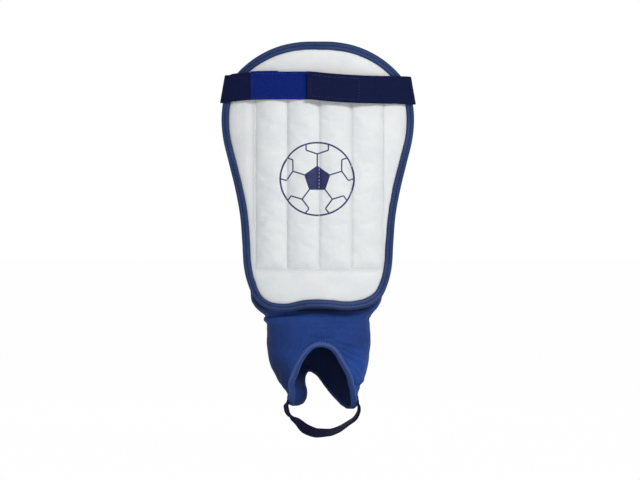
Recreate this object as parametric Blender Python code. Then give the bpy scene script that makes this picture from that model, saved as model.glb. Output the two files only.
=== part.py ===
"""Soft shin guard with an ankle sleeve: quilted shield, wrap strap, knit sleeve and elastic stirrup.

Frame: +Z up the leg, -Y out of the front, +X to the right of someone facing the guard.
Origin: centre of the lining face that rests on the shin. Lengths are millimetres until
put_mesh writes them in metres.

The shield and the strap's front are laid out flat, as u across, a level forward of the lining
face and z up, then bent to the shin. The sleeve is laid out by angle phi, in degrees from the
front with right positive, and z.
"""
import math

import bmesh
import bpy
import numpy as np

# ---------------------------------------------------------------- driving dimensions (mm)
GAP = 0.3              # air left between sewn layers

BEND_R = 170.0         # radius of the lining face, about a vertical axis behind the guard
OUTLINE_R = 176.0      # radius at which the outline's widths are measured
FLAT_U = 10.0          # the lining's middle facet reaches this far each side, flat on Y = 0
AXIS_Y = BEND_R * math.sqrt(1 - (FLAT_U / OUTLINE_R) ** 2)

# Layer levels, back and front
LINING_LEVELS = (0.0, 1.0)
FOAM_LEVELS = (LINING_LEVELS[1] + GAP, 6.3)
COVER_LEVELS = (FOAM_LEVELS[1] + GAP, 7.4)     # flat areas; the channels rise above this

# Half outline of the shield, outer edge of the binding, top to bottom: (half width, z)
HALF_OUTLINE = np.array([
    (0.0, 122.2), (17.0, 121.7), (35.0, 118.2), (52.0, 111.0), (67.0, 100.5),
    (78.5, 88.0), (85.6, 73.0), (88.2, 54.0), (86.7, 34.0), (81.5, 12.0),
    (75.6, -12.0), (71.2, -36.0), (69.2, -60.0), (67.8, -82.0), (64.2, -98.0),
    (57.6, -112.0), (46.0, -121.0), (28.0, -124.4), (11.0, -123.0), (0.0, -122.4),
])


# ---------------------------------------------------------------- materials
def make_material(name, colour, roughness):
    material = bpy.data.materials.new(name)
    material.use_nodes = True
    shader = material.node_tree.nodes["Principled BSDF"]
    shader.inputs["Base Color"].default_value = (*colour, 1.0)
    shader.inputs["Roughness"].default_value = roughness
    material.diffuse_color = (*colour, 1.0)
    return material


def make_materials():
    return {
        "cover": make_material("cover_white", colour=(0.80, 0.82, 0.84), roughness=0.5),
        "foam": make_material("foam_grey", colour=(0.75, 0.75, 0.72), roughness=0.9),
        "slat": make_material("slat_plastic", colour=(0.85, 0.85, 0.83), roughness=0.35),
        "lining": make_material("lining_blue", colour=(0.03, 0.06, 0.2), roughness=0.9),
        "binding": make_material("binding_blue", colour=(0.05, 0.09, 0.23), roughness=0.7),
        "knit": make_material("knit_blue", colour=(0.02, 0.06, 0.22), roughness=0.75),
        "elastic": make_material("elastic_navy", colour=(0.01, 0.015, 0.06), roughness=0.8),
        "loop": make_material("loop_royal", colour=(0.005, 0.02, 0.2), roughness=0.95),
        "hook": make_material("hook_navy", colour=(0.01, 0.015, 0.06), roughness=0.5),
    }


# ---------------------------------------------------------------- mesh helpers
def put_mesh(name, points, faces, material):
    mesh = bpy.data.meshes.new(name)
    metres = [tuple(float(c) / 1000.0 for c in point) for point in points]
    mesh.from_pydata(metres, [], [tuple(face) for face in faces])
    bm = bmesh.new()
    bm.from_mesh(mesh)
    bmesh.ops.remove_doubles(bm, verts=bm.verts, dist=1e-6)
    bmesh.ops.recalc_face_normals(bm, faces=bm.faces)
    bm.to_mesh(mesh)
    bm.free()
    mesh.shade_smooth()
    mesh.set_sharp_from_angle(angle=math.radians(40))
    mesh.materials.append(MATERIALS[material])
    ob = bpy.data.objects.new(name, mesh)
    bpy.context.scene.collection.objects.link(ob)
    return ob


def slab(name, top, bottom, material):
    """A closed solid between two grids of points, top[i][j] and bottom[i][j]."""
    top, bottom = np.asarray(top, float), np.asarray(bottom, float)
    rows, cols = top.shape[:2]

    def t(i, j):
        return i * cols + j

    def b(i, j):
        return rows * cols + t(i, j)

    faces = []
    last = cols - 1
    for i in range(rows - 1):
        for j in range(last):
            faces.append((t(i, j), t(i + 1, j), t(i + 1, j + 1), t(i, j + 1)))
            faces.append((b(i, j), b(i, j + 1), b(i + 1, j + 1), b(i + 1, j)))
        faces.append((t(i, 0), b(i, 0), b(i + 1, 0), t(i + 1, 0)))
        faces.append((t(i, last), t(i + 1, last), b(i + 1, last), b(i, last)))
    end = rows - 1
    for j in range(last):
        faces.append((t(0, j), t(0, j + 1), b(0, j + 1), b(0, j)))
        faces.append((t(end, j), b(end, j), b(end, j + 1), t(end, j + 1)))
    return put_mesh(name, [*top.reshape(-1, 3), *bottom.reshape(-1, 3)], faces, material)


def sweep(name, sections, material, ring=False):
    """A closed solid through sections, each a closed loop of points. ring joins last to first."""
    sections = np.asarray(sections, float)
    count, sides = sections.shape[:2]
    faces = []
    for i in range(count if ring else count - 1):
        here, there = i * sides, (i + 1) % count * sides
        for j in range(sides):
            k = (j + 1) % sides
            faces.append((here + j, here + k, there + k, there + j))
    if not ring:
        faces.append(tuple(range(sides)))
        faces.append(tuple((count - 1) * sides + j for j in reversed(range(sides))))
    return put_mesh(name, sections.reshape(-1, 3), faces, material)


# ---------------------------------------------------------------- curve helpers
def spline(knots, values, at):
    """Smooth curve through the knots (monotone where they are), held level past its ends."""
    x, y = np.asarray(knots, float), np.asarray(values, float)
    slope = np.diff(y) / np.diff(x)
    before, after = slope[:-1], slope[1:]
    same = after * before > 0
    tangent = np.zeros_like(y)
    tangent[1:-1][same] = 2 * after[same] * before[same] / (after[same] + before[same])
    tangent[0], tangent[-1] = slope[0], slope[-1]
    at = np.clip(np.asarray(at, float), x[0], x[-1])
    i = np.clip(np.searchsorted(x, at) - 1, 0, len(x) - 2)
    step = x[i + 1] - x[i]
    t = (at - x[i]) / step
    return (
        y[i] * (2 * t**3 - 3 * t**2 + 1) + tangent[i] * step * (t**3 - 2 * t**2 + t)
        + y[i + 1] * (3 * t**2 - 2 * t**3) + tangent[i + 1] * step * (t**3 - t**2)
    )


def splines(knots, rows, at):
    """One spline per column of rows."""
    return np.stack([spline(knots, column, at) for column in np.transpose(rows)], -1)


def run_lengths(points):
    """Distance along the polyline to each of its points."""
    return np.concatenate([[0], np.cumsum(np.linalg.norm(np.diff(points, axis=0), axis=1))])


def bend(u, level, z):
    """A point of the flat shield on the curved one."""
    angle = np.arcsin(np.clip(np.asarray(u, float) / OUTLINE_R, -0.99, 0.99))
    radius = BEND_R + np.asarray(level, float)
    x, y = radius * np.sin(angle), AXIS_Y - radius * np.cos(angle)
    return np.stack(np.broadcast_arrays(x, y, np.asarray(z, float)), -1)


def closed_outline(count):
    """The outline as count evenly spaced (u, z), clockwise from the top, and inward normals."""
    left = HALF_OUTLINE[-2:0:-1] * (-1, 1)
    corners = np.concatenate([HALF_OUTLINE, left])
    total = len(corners)
    dense = []
    for i in range(total):     # Catmull-Rom curve from p1 to p2
        p0, p1, p2, p3 = (corners[(i + k) % total] for k in (-1, 0, 1, 2))
        for t in np.linspace(0, 1, 24, endpoint=False):
            dense.append(0.5 * (2 * p1 + (p2 - p0) * t + (2 * p0 - 5 * p1 + 4 * p2 - p3) * t * t
                                + (3 * p1 - p0 - 3 * p2 + p3) * t**3))
    loop = np.array(dense + dense[:1])
    run = run_lengths(loop)
    at = np.linspace(0, run[-1], count, endpoint=False)
    points = np.stack([np.interp(at, run, loop[:, k]) for k in (0, 1)], 1)
    tangent = np.roll(points, -1, 0) - np.roll(points, 1, 0)
    tangent /= np.linalg.norm(tangent, axis=1)[:, None]
    return points, np.stack([tangent[:, 1], -tangent[:, 0]], 1)


# ---------------------------------------------------------------- shield layers
CHANNELS = 4
BLOCK_U = (-57.0, 59.4)    # left and right quilting seams
BLOCK_Z = (-85.6, 84.0)    # bottom and top quilting seams
PITCH = (BLOCK_U[1] - BLOCK_U[0]) / CHANNELS
RIB_H = 3.0                # rise of a channel
RIB_POWER = 2.2            # higher makes a channel flatter on top
RIB_RAMP = 7.0             # length over which a channel rises at each end

SHEET_U, SHEET_Z = 95.0, 130.0     # half size of a layer before it is cut to the outline
CUTTER_Y = 40.0
PLAIN_RIGHT = [FLAT_U, 20, 30, 40, 50, 60, 70, 80, SHEET_U]
PLAIN_U = [-u for u in reversed(PLAIN_RIGHT)] + PLAIN_RIGHT
COVER_U = [
    -SHEET_U, -84, -76, -67,
    *(BLOCK_U[0] + PITCH * (k + share)
      for k in range(CHANNELS) for share in (0, 0.12, 0.3, 0.5, 0.7, 0.88)),
    BLOCK_U[1], 68, 76, 84, SHEET_U,
]
COVER_Z = [-SHEET_Z, BLOCK_Z[0], -83, -79, -20, 30, 77, 81.5, BLOCK_Z[1], SHEET_Z]
SEWN_INSET = 2.9           # cover and lining stop this far inside the outline
FOAM_INSET = 2.0


def rib(u, z):
    """Height of the quilted channels above the flat cover."""
    place = (u - BLOCK_U[0]) / PITCH
    inside = (place > 0) & (place < CHANNELS)
    across = 1 - np.abs(2 * (place % 1.0) - 1) ** RIB_POWER
    end = np.clip(np.minimum(z - BLOCK_Z[0], BLOCK_Z[1] - z) / RIB_RAMP, 0, 1)
    return np.where(inside, RIB_H * across * np.sin(end * math.pi / 2), 0.0)


def shield_layer(name, us, zs, levels, inset, material, ribbed=False):
    """A flat grid cut to the outline, then bent to the shin."""
    u, z = np.meshgrid(np.array(us, float), np.array(zs, float), indexing="ij")
    rise = rib(u, z) if ribbed else np.zeros_like(u)
    back, front = (np.stack([u, -(level + rise), z], -1) for level in levels)
    sheet = slab(name + "_flat", front, back, material)

    points, inward = closed_outline(120)
    cut_line = points + inward * inset
    ends = [[(x, y, height) for x, height in cut_line] for y in (-CUTTER_Y, CUTTER_Y)]
    cutter = sweep(name + "_outline", ends, material)
    cut = sheet.modifiers.new("outline", "BOOLEAN")
    cut.operation, cut.solver, cut.object = "INTERSECT", "EXACT", cutter
    graph = bpy.context.evaluated_depsgraph_get()
    mesh = bpy.data.meshes.new_from_object(sheet.evaluated_get(graph))
    flat = np.array([v.co for v in mesh.vertices]) * 1000.0
    faces = [tuple(face.vertices) for face in mesh.polygons]
    for ob in (sheet, cutter):
        bpy.data.objects.remove(ob)
    put_mesh(name, bend(flat[:, 0], -flat[:, 1], flat[:, 2]), faces, material)


def build_layers():
    shield_layer("front_cover", COVER_U, COVER_Z, COVER_LEVELS, SEWN_INSET, "cover", ribbed=True)
    shield_layer("foam_core", PLAIN_U, [-SHEET_Z, SHEET_Z], FOAM_LEVELS, FOAM_INSET, "foam")
    shield_layer("back_lining", PLAIN_U, [-SHEET_Z, -90, 60, SHEET_Z], LINING_LEVELS,
                 SEWN_INSET, "lining")


# ---------------------------------------------------------------- slats
SLAT_W = 23.0
SLAT_Z = (-81.0, 79.5)
SLAT_EDGE, SLAT_CROWN = 0.85, 1.75     # thickness at the long edges, and what the middle adds
SLAT_ACROSS = np.array([-1, -0.85, -0.5, 0, 0.5, 0.85, 1])     # shares of the half width
# Rounded ends: (distance in from the tip, share of the width, share of the crown)
SLAT_TIP = [(0.0, 0.55, 0.45), (1.8, 0.8, 0.45), (5.0, 0.96, 1.0), (9.0, 1.0, 1.0)]


def build_slats():
    """A crowned slat in each channel, resting on the foam."""
    base = FOAM_LEVELS[1] + GAP
    rows = [(SLAT_Z[0] + d, width, crown) for d, width, crown in SLAT_TIP]
    rows += [(SLAT_Z[1] - d, width, crown) for d, width, crown in reversed(SLAT_TIP)]
    for k in range(CHANNELS):
        middle = BLOCK_U[0] + PITCH * (k + 0.5)
        top, bottom = [], []
        for z, width, crown in rows:
            u = middle + SLAT_W / 2 * SLAT_ACROSS * width
            thickness = SLAT_EDGE + SLAT_CROWN * (1 - SLAT_ACROSS**2) * crown
            top.append(bend(u, base + thickness, z))
            bottom.append(bend(u, base, z))
        slab(f"slat_{k + 1}", top, bottom, "slat")


# ---------------------------------------------------------------- edge binding and yoke
BINDING_W = 7.6            # how far the binding reaches in from the edge
# Section of the folded tape: (distance in from the edge, level)
BINDING_SECTION = [
    (BINDING_W, 8.4), (4.2, 8.7), (1.5, 7.9), (0.1, 5.6), (0.1, 1.8), (1.5, -0.6), (4.2, -1.3),
    (BINDING_W, -1.0), (BINDING_W, -0.3), (2.4, -0.3), (1.1, 1.0), (1.1, 6.4), (2.4, 7.7),
    (BINDING_W, 7.7),
]
BOTTOM_WIDENING = 0.16     # extra share of the binding's width along the bottom
WIDENING_Z, WIDENING_RAMP = -100.0, 15.0   # where it starts, and the height over which it grows

YOKE_LEVELS = (-3.2, -1.7)
# (z, half width)
YOKE_ROWS = [(-98.0, 60.0), (-106.0, 61.0), (-113.0, 59.5), (-118.0, 57.0), (-123.7, 52.0)]


def build_binding():
    """Tape folded round the whole edge of the shield."""
    sections = []
    for point, inward in zip(*closed_outline(110)):
        widen = 1.0 + BOTTOM_WIDENING * np.clip((WIDENING_Z - point[1]) / WIDENING_RAMP, 0, 1)
        section = []
        for distance, level in BINDING_SECTION:
            u, z = point + inward * distance * widen
            section.append(bend(u, level, z))
        sections.append(section)
    sweep("edge_binding", sections, "binding", ring=True)


def build_yoke():
    """The knit band sewn flat behind the shield's bottom edge."""
    across = np.linspace(-1, 1, 15)
    back, front = ([bend(width * across, level, z) for z, width in YOKE_ROWS]
                   for level in YOKE_LEVELS)
    slab("sleeve_yoke", front, back, "knit")


# ---------------------------------------------------------------- strap
STRAP_W, STRAP_T = 25.4, 1.4
PATCH_T = 1.1
# Levels of the inner faces over the channels, stacked forward from the strap
STRAP_LEVEL = 10.8
LOOP_LEVEL = STRAP_LEVEL + STRAP_T + GAP
HOOK_LEVEL = LOOP_LEVEL + PATCH_T + GAP
TAB_LEVEL = HOOK_LEVEL + PATCH_T + GAP
TAB_U = (-9.0, 36.0)
LOOP_U = (-59.0, 24.0)
HOOK_U = (TAB_U[0] + 1.5, TAB_U[1] - 1.0)
LOOP_W, HOOK_W = STRAP_W - 0.6, STRAP_W - 2.0

# Stations across the front, starting at the section's front end
ANCHOR_U = [24.5, 10, 0, -10, -20, -30, -40, -50, -58, -66, -74]
CLOSURE_U = [TAB_U[1] + 0.5, 40, 44, 48, 52, 57, 63, 70, 76]
# Inner face levels: (distance from the middle, level)
EDGE_DROP = [(70, 10.1), (84, 9.4), (92, 9.3)]
ANCHOR_LEVELS = [(0, STRAP_LEVEL), (56, STRAP_LEVEL), *EDGE_DROP]
CLOSURE_LEVELS = [(TAB_U[1], TAB_LEVEL), (42, 14.2), (52, 11.4), (58, STRAP_LEVEL), *EDGE_DROP]
# Height of the centre line, a little higher left of the middle: (u, z)
STRAP_HEIGHTS = [(-90, 79.4), (-52, 82.0), (-12, 82.0), (12, 80.0), (40, 78.4), (90, 78.2)]

FOLD_U = 88.0              # where the centre line's height is taken for the side turns
FOLD_X, FOLD_Z = 88.2, 67.0        # the side turn reaches this x at this height
FOLD_SLOPE = 0.177         # and comes in by this much for each mm above it
TURN_SETBACK = 6.0         # the turn starts and ends this far in from its outermost point
# Points round the turn: (x from the outermost point, y from the turn's start)
TURN_KNOTS = [(-1.6, 3.3), (0.0, 7.2), (-1.4, 11.2)]
HINGE_AT = 0.04            # share of the turn's length at which the closing end hinges
HINGE_GAP = 0.012          # share of the turn's length left open at the hinge

BACK_X, BACK_Y = 76.0, 25.0        # where the side turns end behind the guard
CALF_BOW = 13.6            # how far back the calf section bows
CALF_Z = 78.8
CALF_INSET = 0.5           # the calf section stops this far short of each turn


def level_at(table, u):
    return float(spline(*zip(*table), abs(u)))


def strap_z(u):
    return spline(*zip(*STRAP_HEIGHTS), u)


# A strap path lists (inner face point, outward normal) at height dz from the centre line.
def on_shield(u, level, dz):
    angle = math.asin(u / OUTLINE_R)
    normal = np.array([math.sin(angle), -math.cos(angle), 0.0])
    return bend(u, level, strap_z(u) + dz), normal


def turn(side, dz, start, stop, steps):
    """Path round one side, front to back, between two shares of its length.

    side is -1 for left and 1 for right.
    """
    z = float(strap_z(side * FOLD_U)) + dz
    fold_x = FOLD_X - (z - FOLD_Z) * FOLD_SLOPE
    start_u = fold_x - TURN_SETBACK
    front = bend(start_u, level_at(ANCHOR_LEVELS, start_u), z)[:2]
    knots = np.array([
        front,
        *((fold_x + dx, front[1] + dy) for dx, dy in TURN_KNOTS),
        (fold_x - TURN_SETBACK, BACK_Y - 0.3),
        (BACK_X, BACK_Y),
    ])
    run = run_lengths(knots)
    at = np.linspace(start, stop, steps) * run[-1]
    ahead = splines(run, knots, at + 0.05) - splines(run, knots, at - 0.05)
    ahead /= np.linalg.norm(ahead, axis=1)[:, None]
    return [(np.array([side * x, y, z]), np.array([side * ahead_y, -ahead_x, 0.0]))
            for (x, y), (ahead_x, ahead_y) in zip(splines(run, knots, at), ahead)]


def anchor_path(dz):
    front = [on_shield(u, level_at(ANCHOR_LEVELS, u), dz) for u in ANCHOR_U]
    return front + turn(-1, dz, HINGE_AT, 1.0, 11)


def closure_path(dz):
    front = [on_shield(u, level_at(CLOSURE_LEVELS, u), dz) for u in CLOSURE_U]
    return front + turn(1, dz, 0.0, HINGE_AT - HINGE_GAP, 2)


def edge_turn_path(dz):
    return turn(1, dz, HINGE_AT, 1.0, 11)


def calf_path(dz):
    path = []
    for x in np.linspace(BACK_X - CALF_INSET, CALF_INSET - BACK_X, 17):
        angle = math.pi * x / BACK_X
        y = BACK_Y + CALF_BOW * (0.5 + 0.5 * math.cos(angle))
        slope = -CALF_BOW * 0.5 * math.pi / BACK_X * math.sin(angle)
        normal = np.array([-slope, 1.0, 0.0]) / math.hypot(slope, 1.0)
        path.append((np.array([x, y, CALF_Z + dz]), normal))
    return path


def level_path(level, ends, steps):
    """Path at one level, from right to left."""
    return lambda dz: [on_shield(u, level, dz) for u in np.linspace(ends[1], ends[0], steps)]


def band(name, path, thickness, material, width=STRAP_W):
    """A strip with three lines of points: its lower edge, middle and upper edge."""
    inner, outer = [], []
    for k in (-1.0, 0.0, 1.0):
        line = path(k * width / 2)
        inner.append([point for point, normal in line])
        outer.append([point + normal * thickness for point, normal in line])
    slab(name, outer, inner, material)


def build_strap():
    band("strap_anchor_section", anchor_path, STRAP_T, "elastic")
    band("loop_patch", level_path(LOOP_LEVEL, LOOP_U, 10), PATCH_T, "loop", LOOP_W)
    band("hook_patch", level_path(HOOK_LEVEL, HOOK_U, 7), PATCH_T, "hook", HOOK_W)
    band("strap_tab", level_path(TAB_LEVEL, TAB_U, 7), STRAP_T, "elastic")
    band("strap_closure_section", closure_path, STRAP_T, "elastic")
    band("strap_edge_turn", edge_turn_path, STRAP_T, "elastic")
    band("strap_calf_section", calf_path, STRAP_T, "elastic")


# ---------------------------------------------------------------- ankle sleeve
SLEEVE_T = 2.0
HEM = 3.6                  # width of the binding tape on the sleeve's edges
PANEL_GAP = 0.4            # between a panel and the tape on its lower edge
PANEL_TOP_Z = -126.0
CUFF_RISE = 26.0           # how much higher the back panel's top is behind the ankle
GIRTH_PER_DEGREE = 0.82

# Outer face: z, half width, depth in front of the centre, depth behind it, centre x, centre y
SLEEVE = np.array([
    (-214, 28.5, 14.0, 15.0, 4.8, 28.0), (-206, 30.5, 15.0, 16.0, 4.6, 28.0),
    (-198, 32.5, 17.0, 18.0, 4.3, 28.0), (-190, 37.2, 19.5, 20.0, 2.7, 28.0),
    (-182, 41.0, 21.5, 22.0, 2.1, 28.0), (-174, 44.0, 23.0, 23.0, 1.1, 28.0),
    (-166, 45.8, 24.0, 24.0, 0.7, 27.5), (-150, 47.0, 25.0, 25.0, 0.8, 27.0),
    (-134, 47.5, 23.0, 27.0, -0.6, 25.5), (-126, 50.5, 19.0, 30.0, -1.0, 22.5),
    (-118, 56.0, 15.0, 32.0, -1.0, 19.0), (-98, 60.0, 14.0, 32.0, -0.8, 18.0),
])
# Lower edge, with instep notch, side flaps and heel notch: (phi, z)
LOWER_EDGE = np.array([
    (-180, -188.4), (-174, -183), (-166, -180), (-160, -184), (-154, -196), (-148, -205),
    (-137, -209.5), (-120, -211), (-105, -211), (-90, -210), (-76, -207), (-62, -201),
    (-45, -191), (-30.5, -181), (-18, -168.5), (-11, -161.5), (-5, -157.5), (2, -156),
    (9, -157), (15.5, -160), (21, -165), (26.5, -171.5), (36, -181), (47, -191), (60, -200),
    (73, -207), (86, -211.5), (100, -213.5), (123, -213.7), (141, -211), (155, -206),
    (170.7, -197.5), (180, -188.4),
])
# Stations round the front and back panels (phi)
FRONT_PHI = [-89.0, -80, -70, -61, -52, -44, -37, -30, -24, -18, -12, -6, 0,
             6, 12, 18, 24, 30, 37, 44, 52, 61, 70, 80, 89.0]
BACK_PHI = [91.5, 101, 112, 123, 134, 144, 152, 160, 167, 174, 180,
            187, 194, 200, 206, 212, 221, 231, 243, 256, 268.5]
CUFF_PHI = range(114, 247, 11)
# Section of the sleeve's tape: (share of its height, distance in from the wall's middle)
HEM_SECTION = [(0.0, -0.5), (0.0, 0.5), (0.45, 1.5), (1.0, 1.3), (1.0, -1.3), (0.45, -1.5)]

PAD_PHI, PAD_Z = 90.0, -170.0      # centre of the ankle pads; phi is negative on the left
PAD_SIZE = (30.0, 17.0)            # half size: degrees round the sleeve, mm in height
POCKET_SIZE = (33.0, 19.5)
PAD_DEPTHS = (SLEEVE_T + 1.3, SLEEVE_T + 5.3)      # from the sleeve's outer face
POCKET_DEPTHS = (SLEEVE_T + 6.1, SLEEVE_T + 6.9)
PAD_TAPER = 0.94           # size of a pad's inner face, as a share of its outer face
PAD_SIDES = 16


def sleeve(phi, z, depth=0.0):
    """The sleeve's outer face, or a point depth inside it."""
    half_width, front, back, centre_x, centre_y = splines(SLEEVE[:, 0], SLEEVE[:, 1:], z)
    angle = math.radians(phi)
    reach = front if math.cos(angle) > 0 else back
    return np.array([centre_x + (half_width - depth) * math.sin(angle),
                     centre_y - (reach - depth) * math.cos(angle), z])


def lower_z(phi):
    return float(spline(LOWER_EDGE[:, 0], LOWER_EDGE[:, 1], (phi + 180.0) % 360.0 - 180.0))


def above_edge(phi, distance):
    """The (phi, z) at a distance in from the lower edge, square to the edge."""
    slope = (lower_z(phi + 0.5) - lower_z(phi - 0.5)) / GIRTH_PER_DEGREE
    length = math.hypot(1.0, slope)
    return phi - slope / length * distance / GIRTH_PER_DEGREE, lower_z(phi) + distance / length


def cuff_top(phi):
    from_front = min(phi, 360 - phi)
    return PANEL_TOP_Z + CUFF_RISE * float(spline([0, 92, 112, 180], [0, 0, 1, 1], from_front))


def panel(name, phis, top):
    grid = []
    for phi in phis:
        low_phi, low_z = above_edge(phi, HEM + PANEL_GAP)
        top_z = top(phi)
        grid.append([(phi + (low_phi - phi) * r * r, top_z + (low_z - top_z) * r)
                     for r in np.linspace(0, 1, 8)])
    outer, inner = ([[sleeve(phi, z, depth) for phi, z in column] for column in grid]
                    for depth in (0.0, SLEEVE_T))
    slab(name, outer, inner, "knit")


def sleeve_tape(name, phis, place):
    """Rounded tape along an edge, through place(phi, share of the tape's height)."""
    sections = [[sleeve(*place(phi, share), SLEEVE_T / 2 + offset)
                 for share, offset in HEM_SECTION] for phi in phis]
    sweep(name, sections, "binding")


def hem_place(phi, share):
    return above_edge(phi, HEM * share)


def cuff_place(phi, share):
    return phi, cuff_top(phi) + GAP + HEM * share


def oval_pad(name, side, depths, size, material):
    """An oval piece inside the sleeve's side, between two depths."""
    points, faces = [], []
    for depth, shrink in zip(depths, (1.0, PAD_TAPER)):
        points.append(sleeve(side * PAD_PHI, PAD_Z, depth))
        for radius in (0.5, 1.0):
            for k in range(PAD_SIDES):
                angle = 2 * math.pi * k / PAD_SIDES
                phi = side * PAD_PHI + size[0] * radius * shrink * math.cos(angle)
                z = PAD_Z + size[1] * radius * shrink * math.sin(angle)
                points.append(sleeve(phi, z, depth))
    face_points = 1 + 2 * PAD_SIDES

    def at(face, ring, k):
        return face * face_points + 1 + ring * PAD_SIDES + k % PAD_SIDES

    for face in (0, 1):
        for k in range(PAD_SIDES):
            faces.append((face * face_points, at(face, 0, k), at(face, 0, k + 1)))
            faces.append((at(face, 0, k), at(face, 1, k), at(face, 1, k + 1), at(face, 0, k + 1)))
    for k in range(PAD_SIDES):
        faces.append((at(0, 1, k), at(1, 1, k), at(1, 1, k + 1), at(0, 1, k + 1)))
    put_mesh(name, points, faces, material)


def build_sleeve():
    panel("sleeve_front_panel", FRONT_PHI, lambda phi: PANEL_TOP_Z)
    panel("sleeve_back_panel", BACK_PHI, cuff_top)
    sleeve_tape("instep_binding", FRONT_PHI, hem_place)
    sleeve_tape("heel_binding", BACK_PHI, hem_place)
    sleeve_tape("cuff_binding", CUFF_PHI, cuff_place)
    for side, word in ((-1, "left"), (1, "right")):
        oval_pad(f"ankle_pad_{word}", side, PAD_DEPTHS, PAD_SIZE, "foam")
        oval_pad(f"pad_pocket_{word}", side, POCKET_DEPTHS, POCKET_SIZE, "knit")


# ---------------------------------------------------------------- stirrup
STIRRUP_Y = 28.0
STIRRUP_W, STIRRUP_T = 14.0, 1.2
LEG_LENGTH = 17.0
STIRRUP_GAP = 0.5          # between a leg and the sole band
# Centre line, left to right: x, z, tilt of the width out of the fore-and-aft direction (degrees)
STIRRUP = np.array([
    (-29.9, -206.0, 0.0), (-30.6, -211.0, 4.0), (-28.5, -216.5, 12.0), (-23.5, -221.0, 26.0),
    (-14.5, -228.0, 38.0), (-5.5, -233.0, 42.0), (5.0, -235.0, 42.0), (15.0, -234.0, 36.0),
    (22.5, -231.5, 28.0), (31.0, -226.0, 18.0), (37.0, -219.5, 11.0), (39.3, -213.0, 5.0),
    (38.5, -206.0, 0.0),
])


def ribbon(name, run, start, stop, steps):
    """The stirrup's band between two distances along its centre line."""
    sections = []
    for s in np.linspace(start, stop, steps):
        x, z, tilt = splines(run, STIRRUP, s)
        ahead_x, ahead_z, _ = splines(run, STIRRUP, s + 0.2) - splines(run, STIRRUP, s - 0.2)
        # square to the band in the plane of the loop, away from the foot
        away = np.array([ahead_z, 0.0, -ahead_x]) / math.hypot(ahead_x, ahead_z)
        cos, sin = math.cos(math.radians(tilt)), math.sin(math.radians(tilt))
        wide = np.array([0.0, -cos, 0.0]) + away * sin
        thin = away * cos + np.array([0.0, sin, 0.0])
        middle = np.array([x, STIRRUP_Y, z])
        sections.append([middle + wide * i * STIRRUP_W / 2 + thin * j * STIRRUP_T / 2
                         for i, j in ((-1, -1), (1, -1), (1, 1), (-1, 1))])
    sweep(name, sections, "elastic")


def build_stirrup():
    run = run_lengths(STIRRUP[:, :2])
    length = run[-1]
    sole_start = LEG_LENGTH + STIRRUP_GAP
    ribbon("stirrup_left_leg", run, 0.0, LEG_LENGTH, 6)
    ribbon("stirrup_sole_band", run, sole_start, length - sole_start, 18)
    ribbon("stirrup_right_leg", run, length - LEG_LENGTH, length, 6)


# ---------------------------------------------------------------- build
for old in list(bpy.data.objects):
    bpy.data.objects.remove(old)
MATERIALS = make_materials()
build_layers()
build_slats()
build_binding()
build_yoke()
build_strap()
build_sleeve()
build_stirrup()
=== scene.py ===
"""A football shin guard: a curved quilted shield with a bound edge, a strap round the calf,
an ankle sleeve with pads in its sides, and a stirrup below it.

It stands upright: +z is up, -y is the front and -x is the left, seen from the front.
Sizes are in millimetres and angles in degrees; the meshes are stored in metres.
A flat point of the shield is given as across, level (outwards from its back) and z.
An angle round the sleeve is 0 at the front and 90 at the right.
"""
import math
from functools import cached_property

import bmesh
import bpy
import numpy as np
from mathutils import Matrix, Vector


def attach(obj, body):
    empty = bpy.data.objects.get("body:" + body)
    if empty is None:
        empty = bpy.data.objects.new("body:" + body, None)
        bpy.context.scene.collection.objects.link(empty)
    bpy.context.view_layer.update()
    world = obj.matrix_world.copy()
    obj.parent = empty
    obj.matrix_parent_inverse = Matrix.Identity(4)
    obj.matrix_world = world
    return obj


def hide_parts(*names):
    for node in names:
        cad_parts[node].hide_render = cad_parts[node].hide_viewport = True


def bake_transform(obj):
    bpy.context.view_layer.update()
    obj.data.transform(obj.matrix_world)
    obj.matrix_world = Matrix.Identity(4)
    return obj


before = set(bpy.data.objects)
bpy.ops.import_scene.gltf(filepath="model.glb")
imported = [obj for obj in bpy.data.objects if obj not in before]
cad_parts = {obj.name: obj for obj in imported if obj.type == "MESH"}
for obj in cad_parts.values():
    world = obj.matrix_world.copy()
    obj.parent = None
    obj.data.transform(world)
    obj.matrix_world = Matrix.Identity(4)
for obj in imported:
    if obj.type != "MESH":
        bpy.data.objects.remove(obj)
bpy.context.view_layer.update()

# ---------------------------------------------------------------- shield dimensions
BEND_R = 170.0          # radius of the shield's back
OUTLINE_R = 176.0       # radius at which distances across the flat outline are laid round the bend
ZERO_ACROSS = 10.0      # where the shield's back lies at y = 0
AXIS_Y = BEND_R * math.sqrt(1 - (ZERO_ACROSS / OUTLINE_R) ** 2)
COVER_LEVEL = 7.4

# the quilted block of upright channels
CHANNELS = 4
BLOCK_X = (-57.0, 59.4)
BLOCK_Z = (-85.6, 84.0)
CHANNEL_W = (BLOCK_X[1] - BLOCK_X[0]) / CHANNELS
SEAM_X = [BLOCK_X[0] + CHANNEL_W * k for k in range(CHANNELS + 1)]

# the right half of the shield's outline, top to bottom: across, z
HALF_OUTLINE = np.array([
    (0.0, 122.2), (17.0, 121.7), (35.0, 118.2), (52.0, 111.0), (67.0, 100.5), (78.5, 88.0),
    (85.6, 73.0), (88.2, 54.0), (86.7, 34.0), (81.5, 12.0), (75.6, -12.0), (71.2, -36.0),
    (69.2, -60.0), (67.8, -82.0), (64.2, -98.0), (57.6, -112.0), (46.0, -121.0),
    (28.0, -124.4), (11.0, -123.0), (0.0, -122.4),
])


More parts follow.
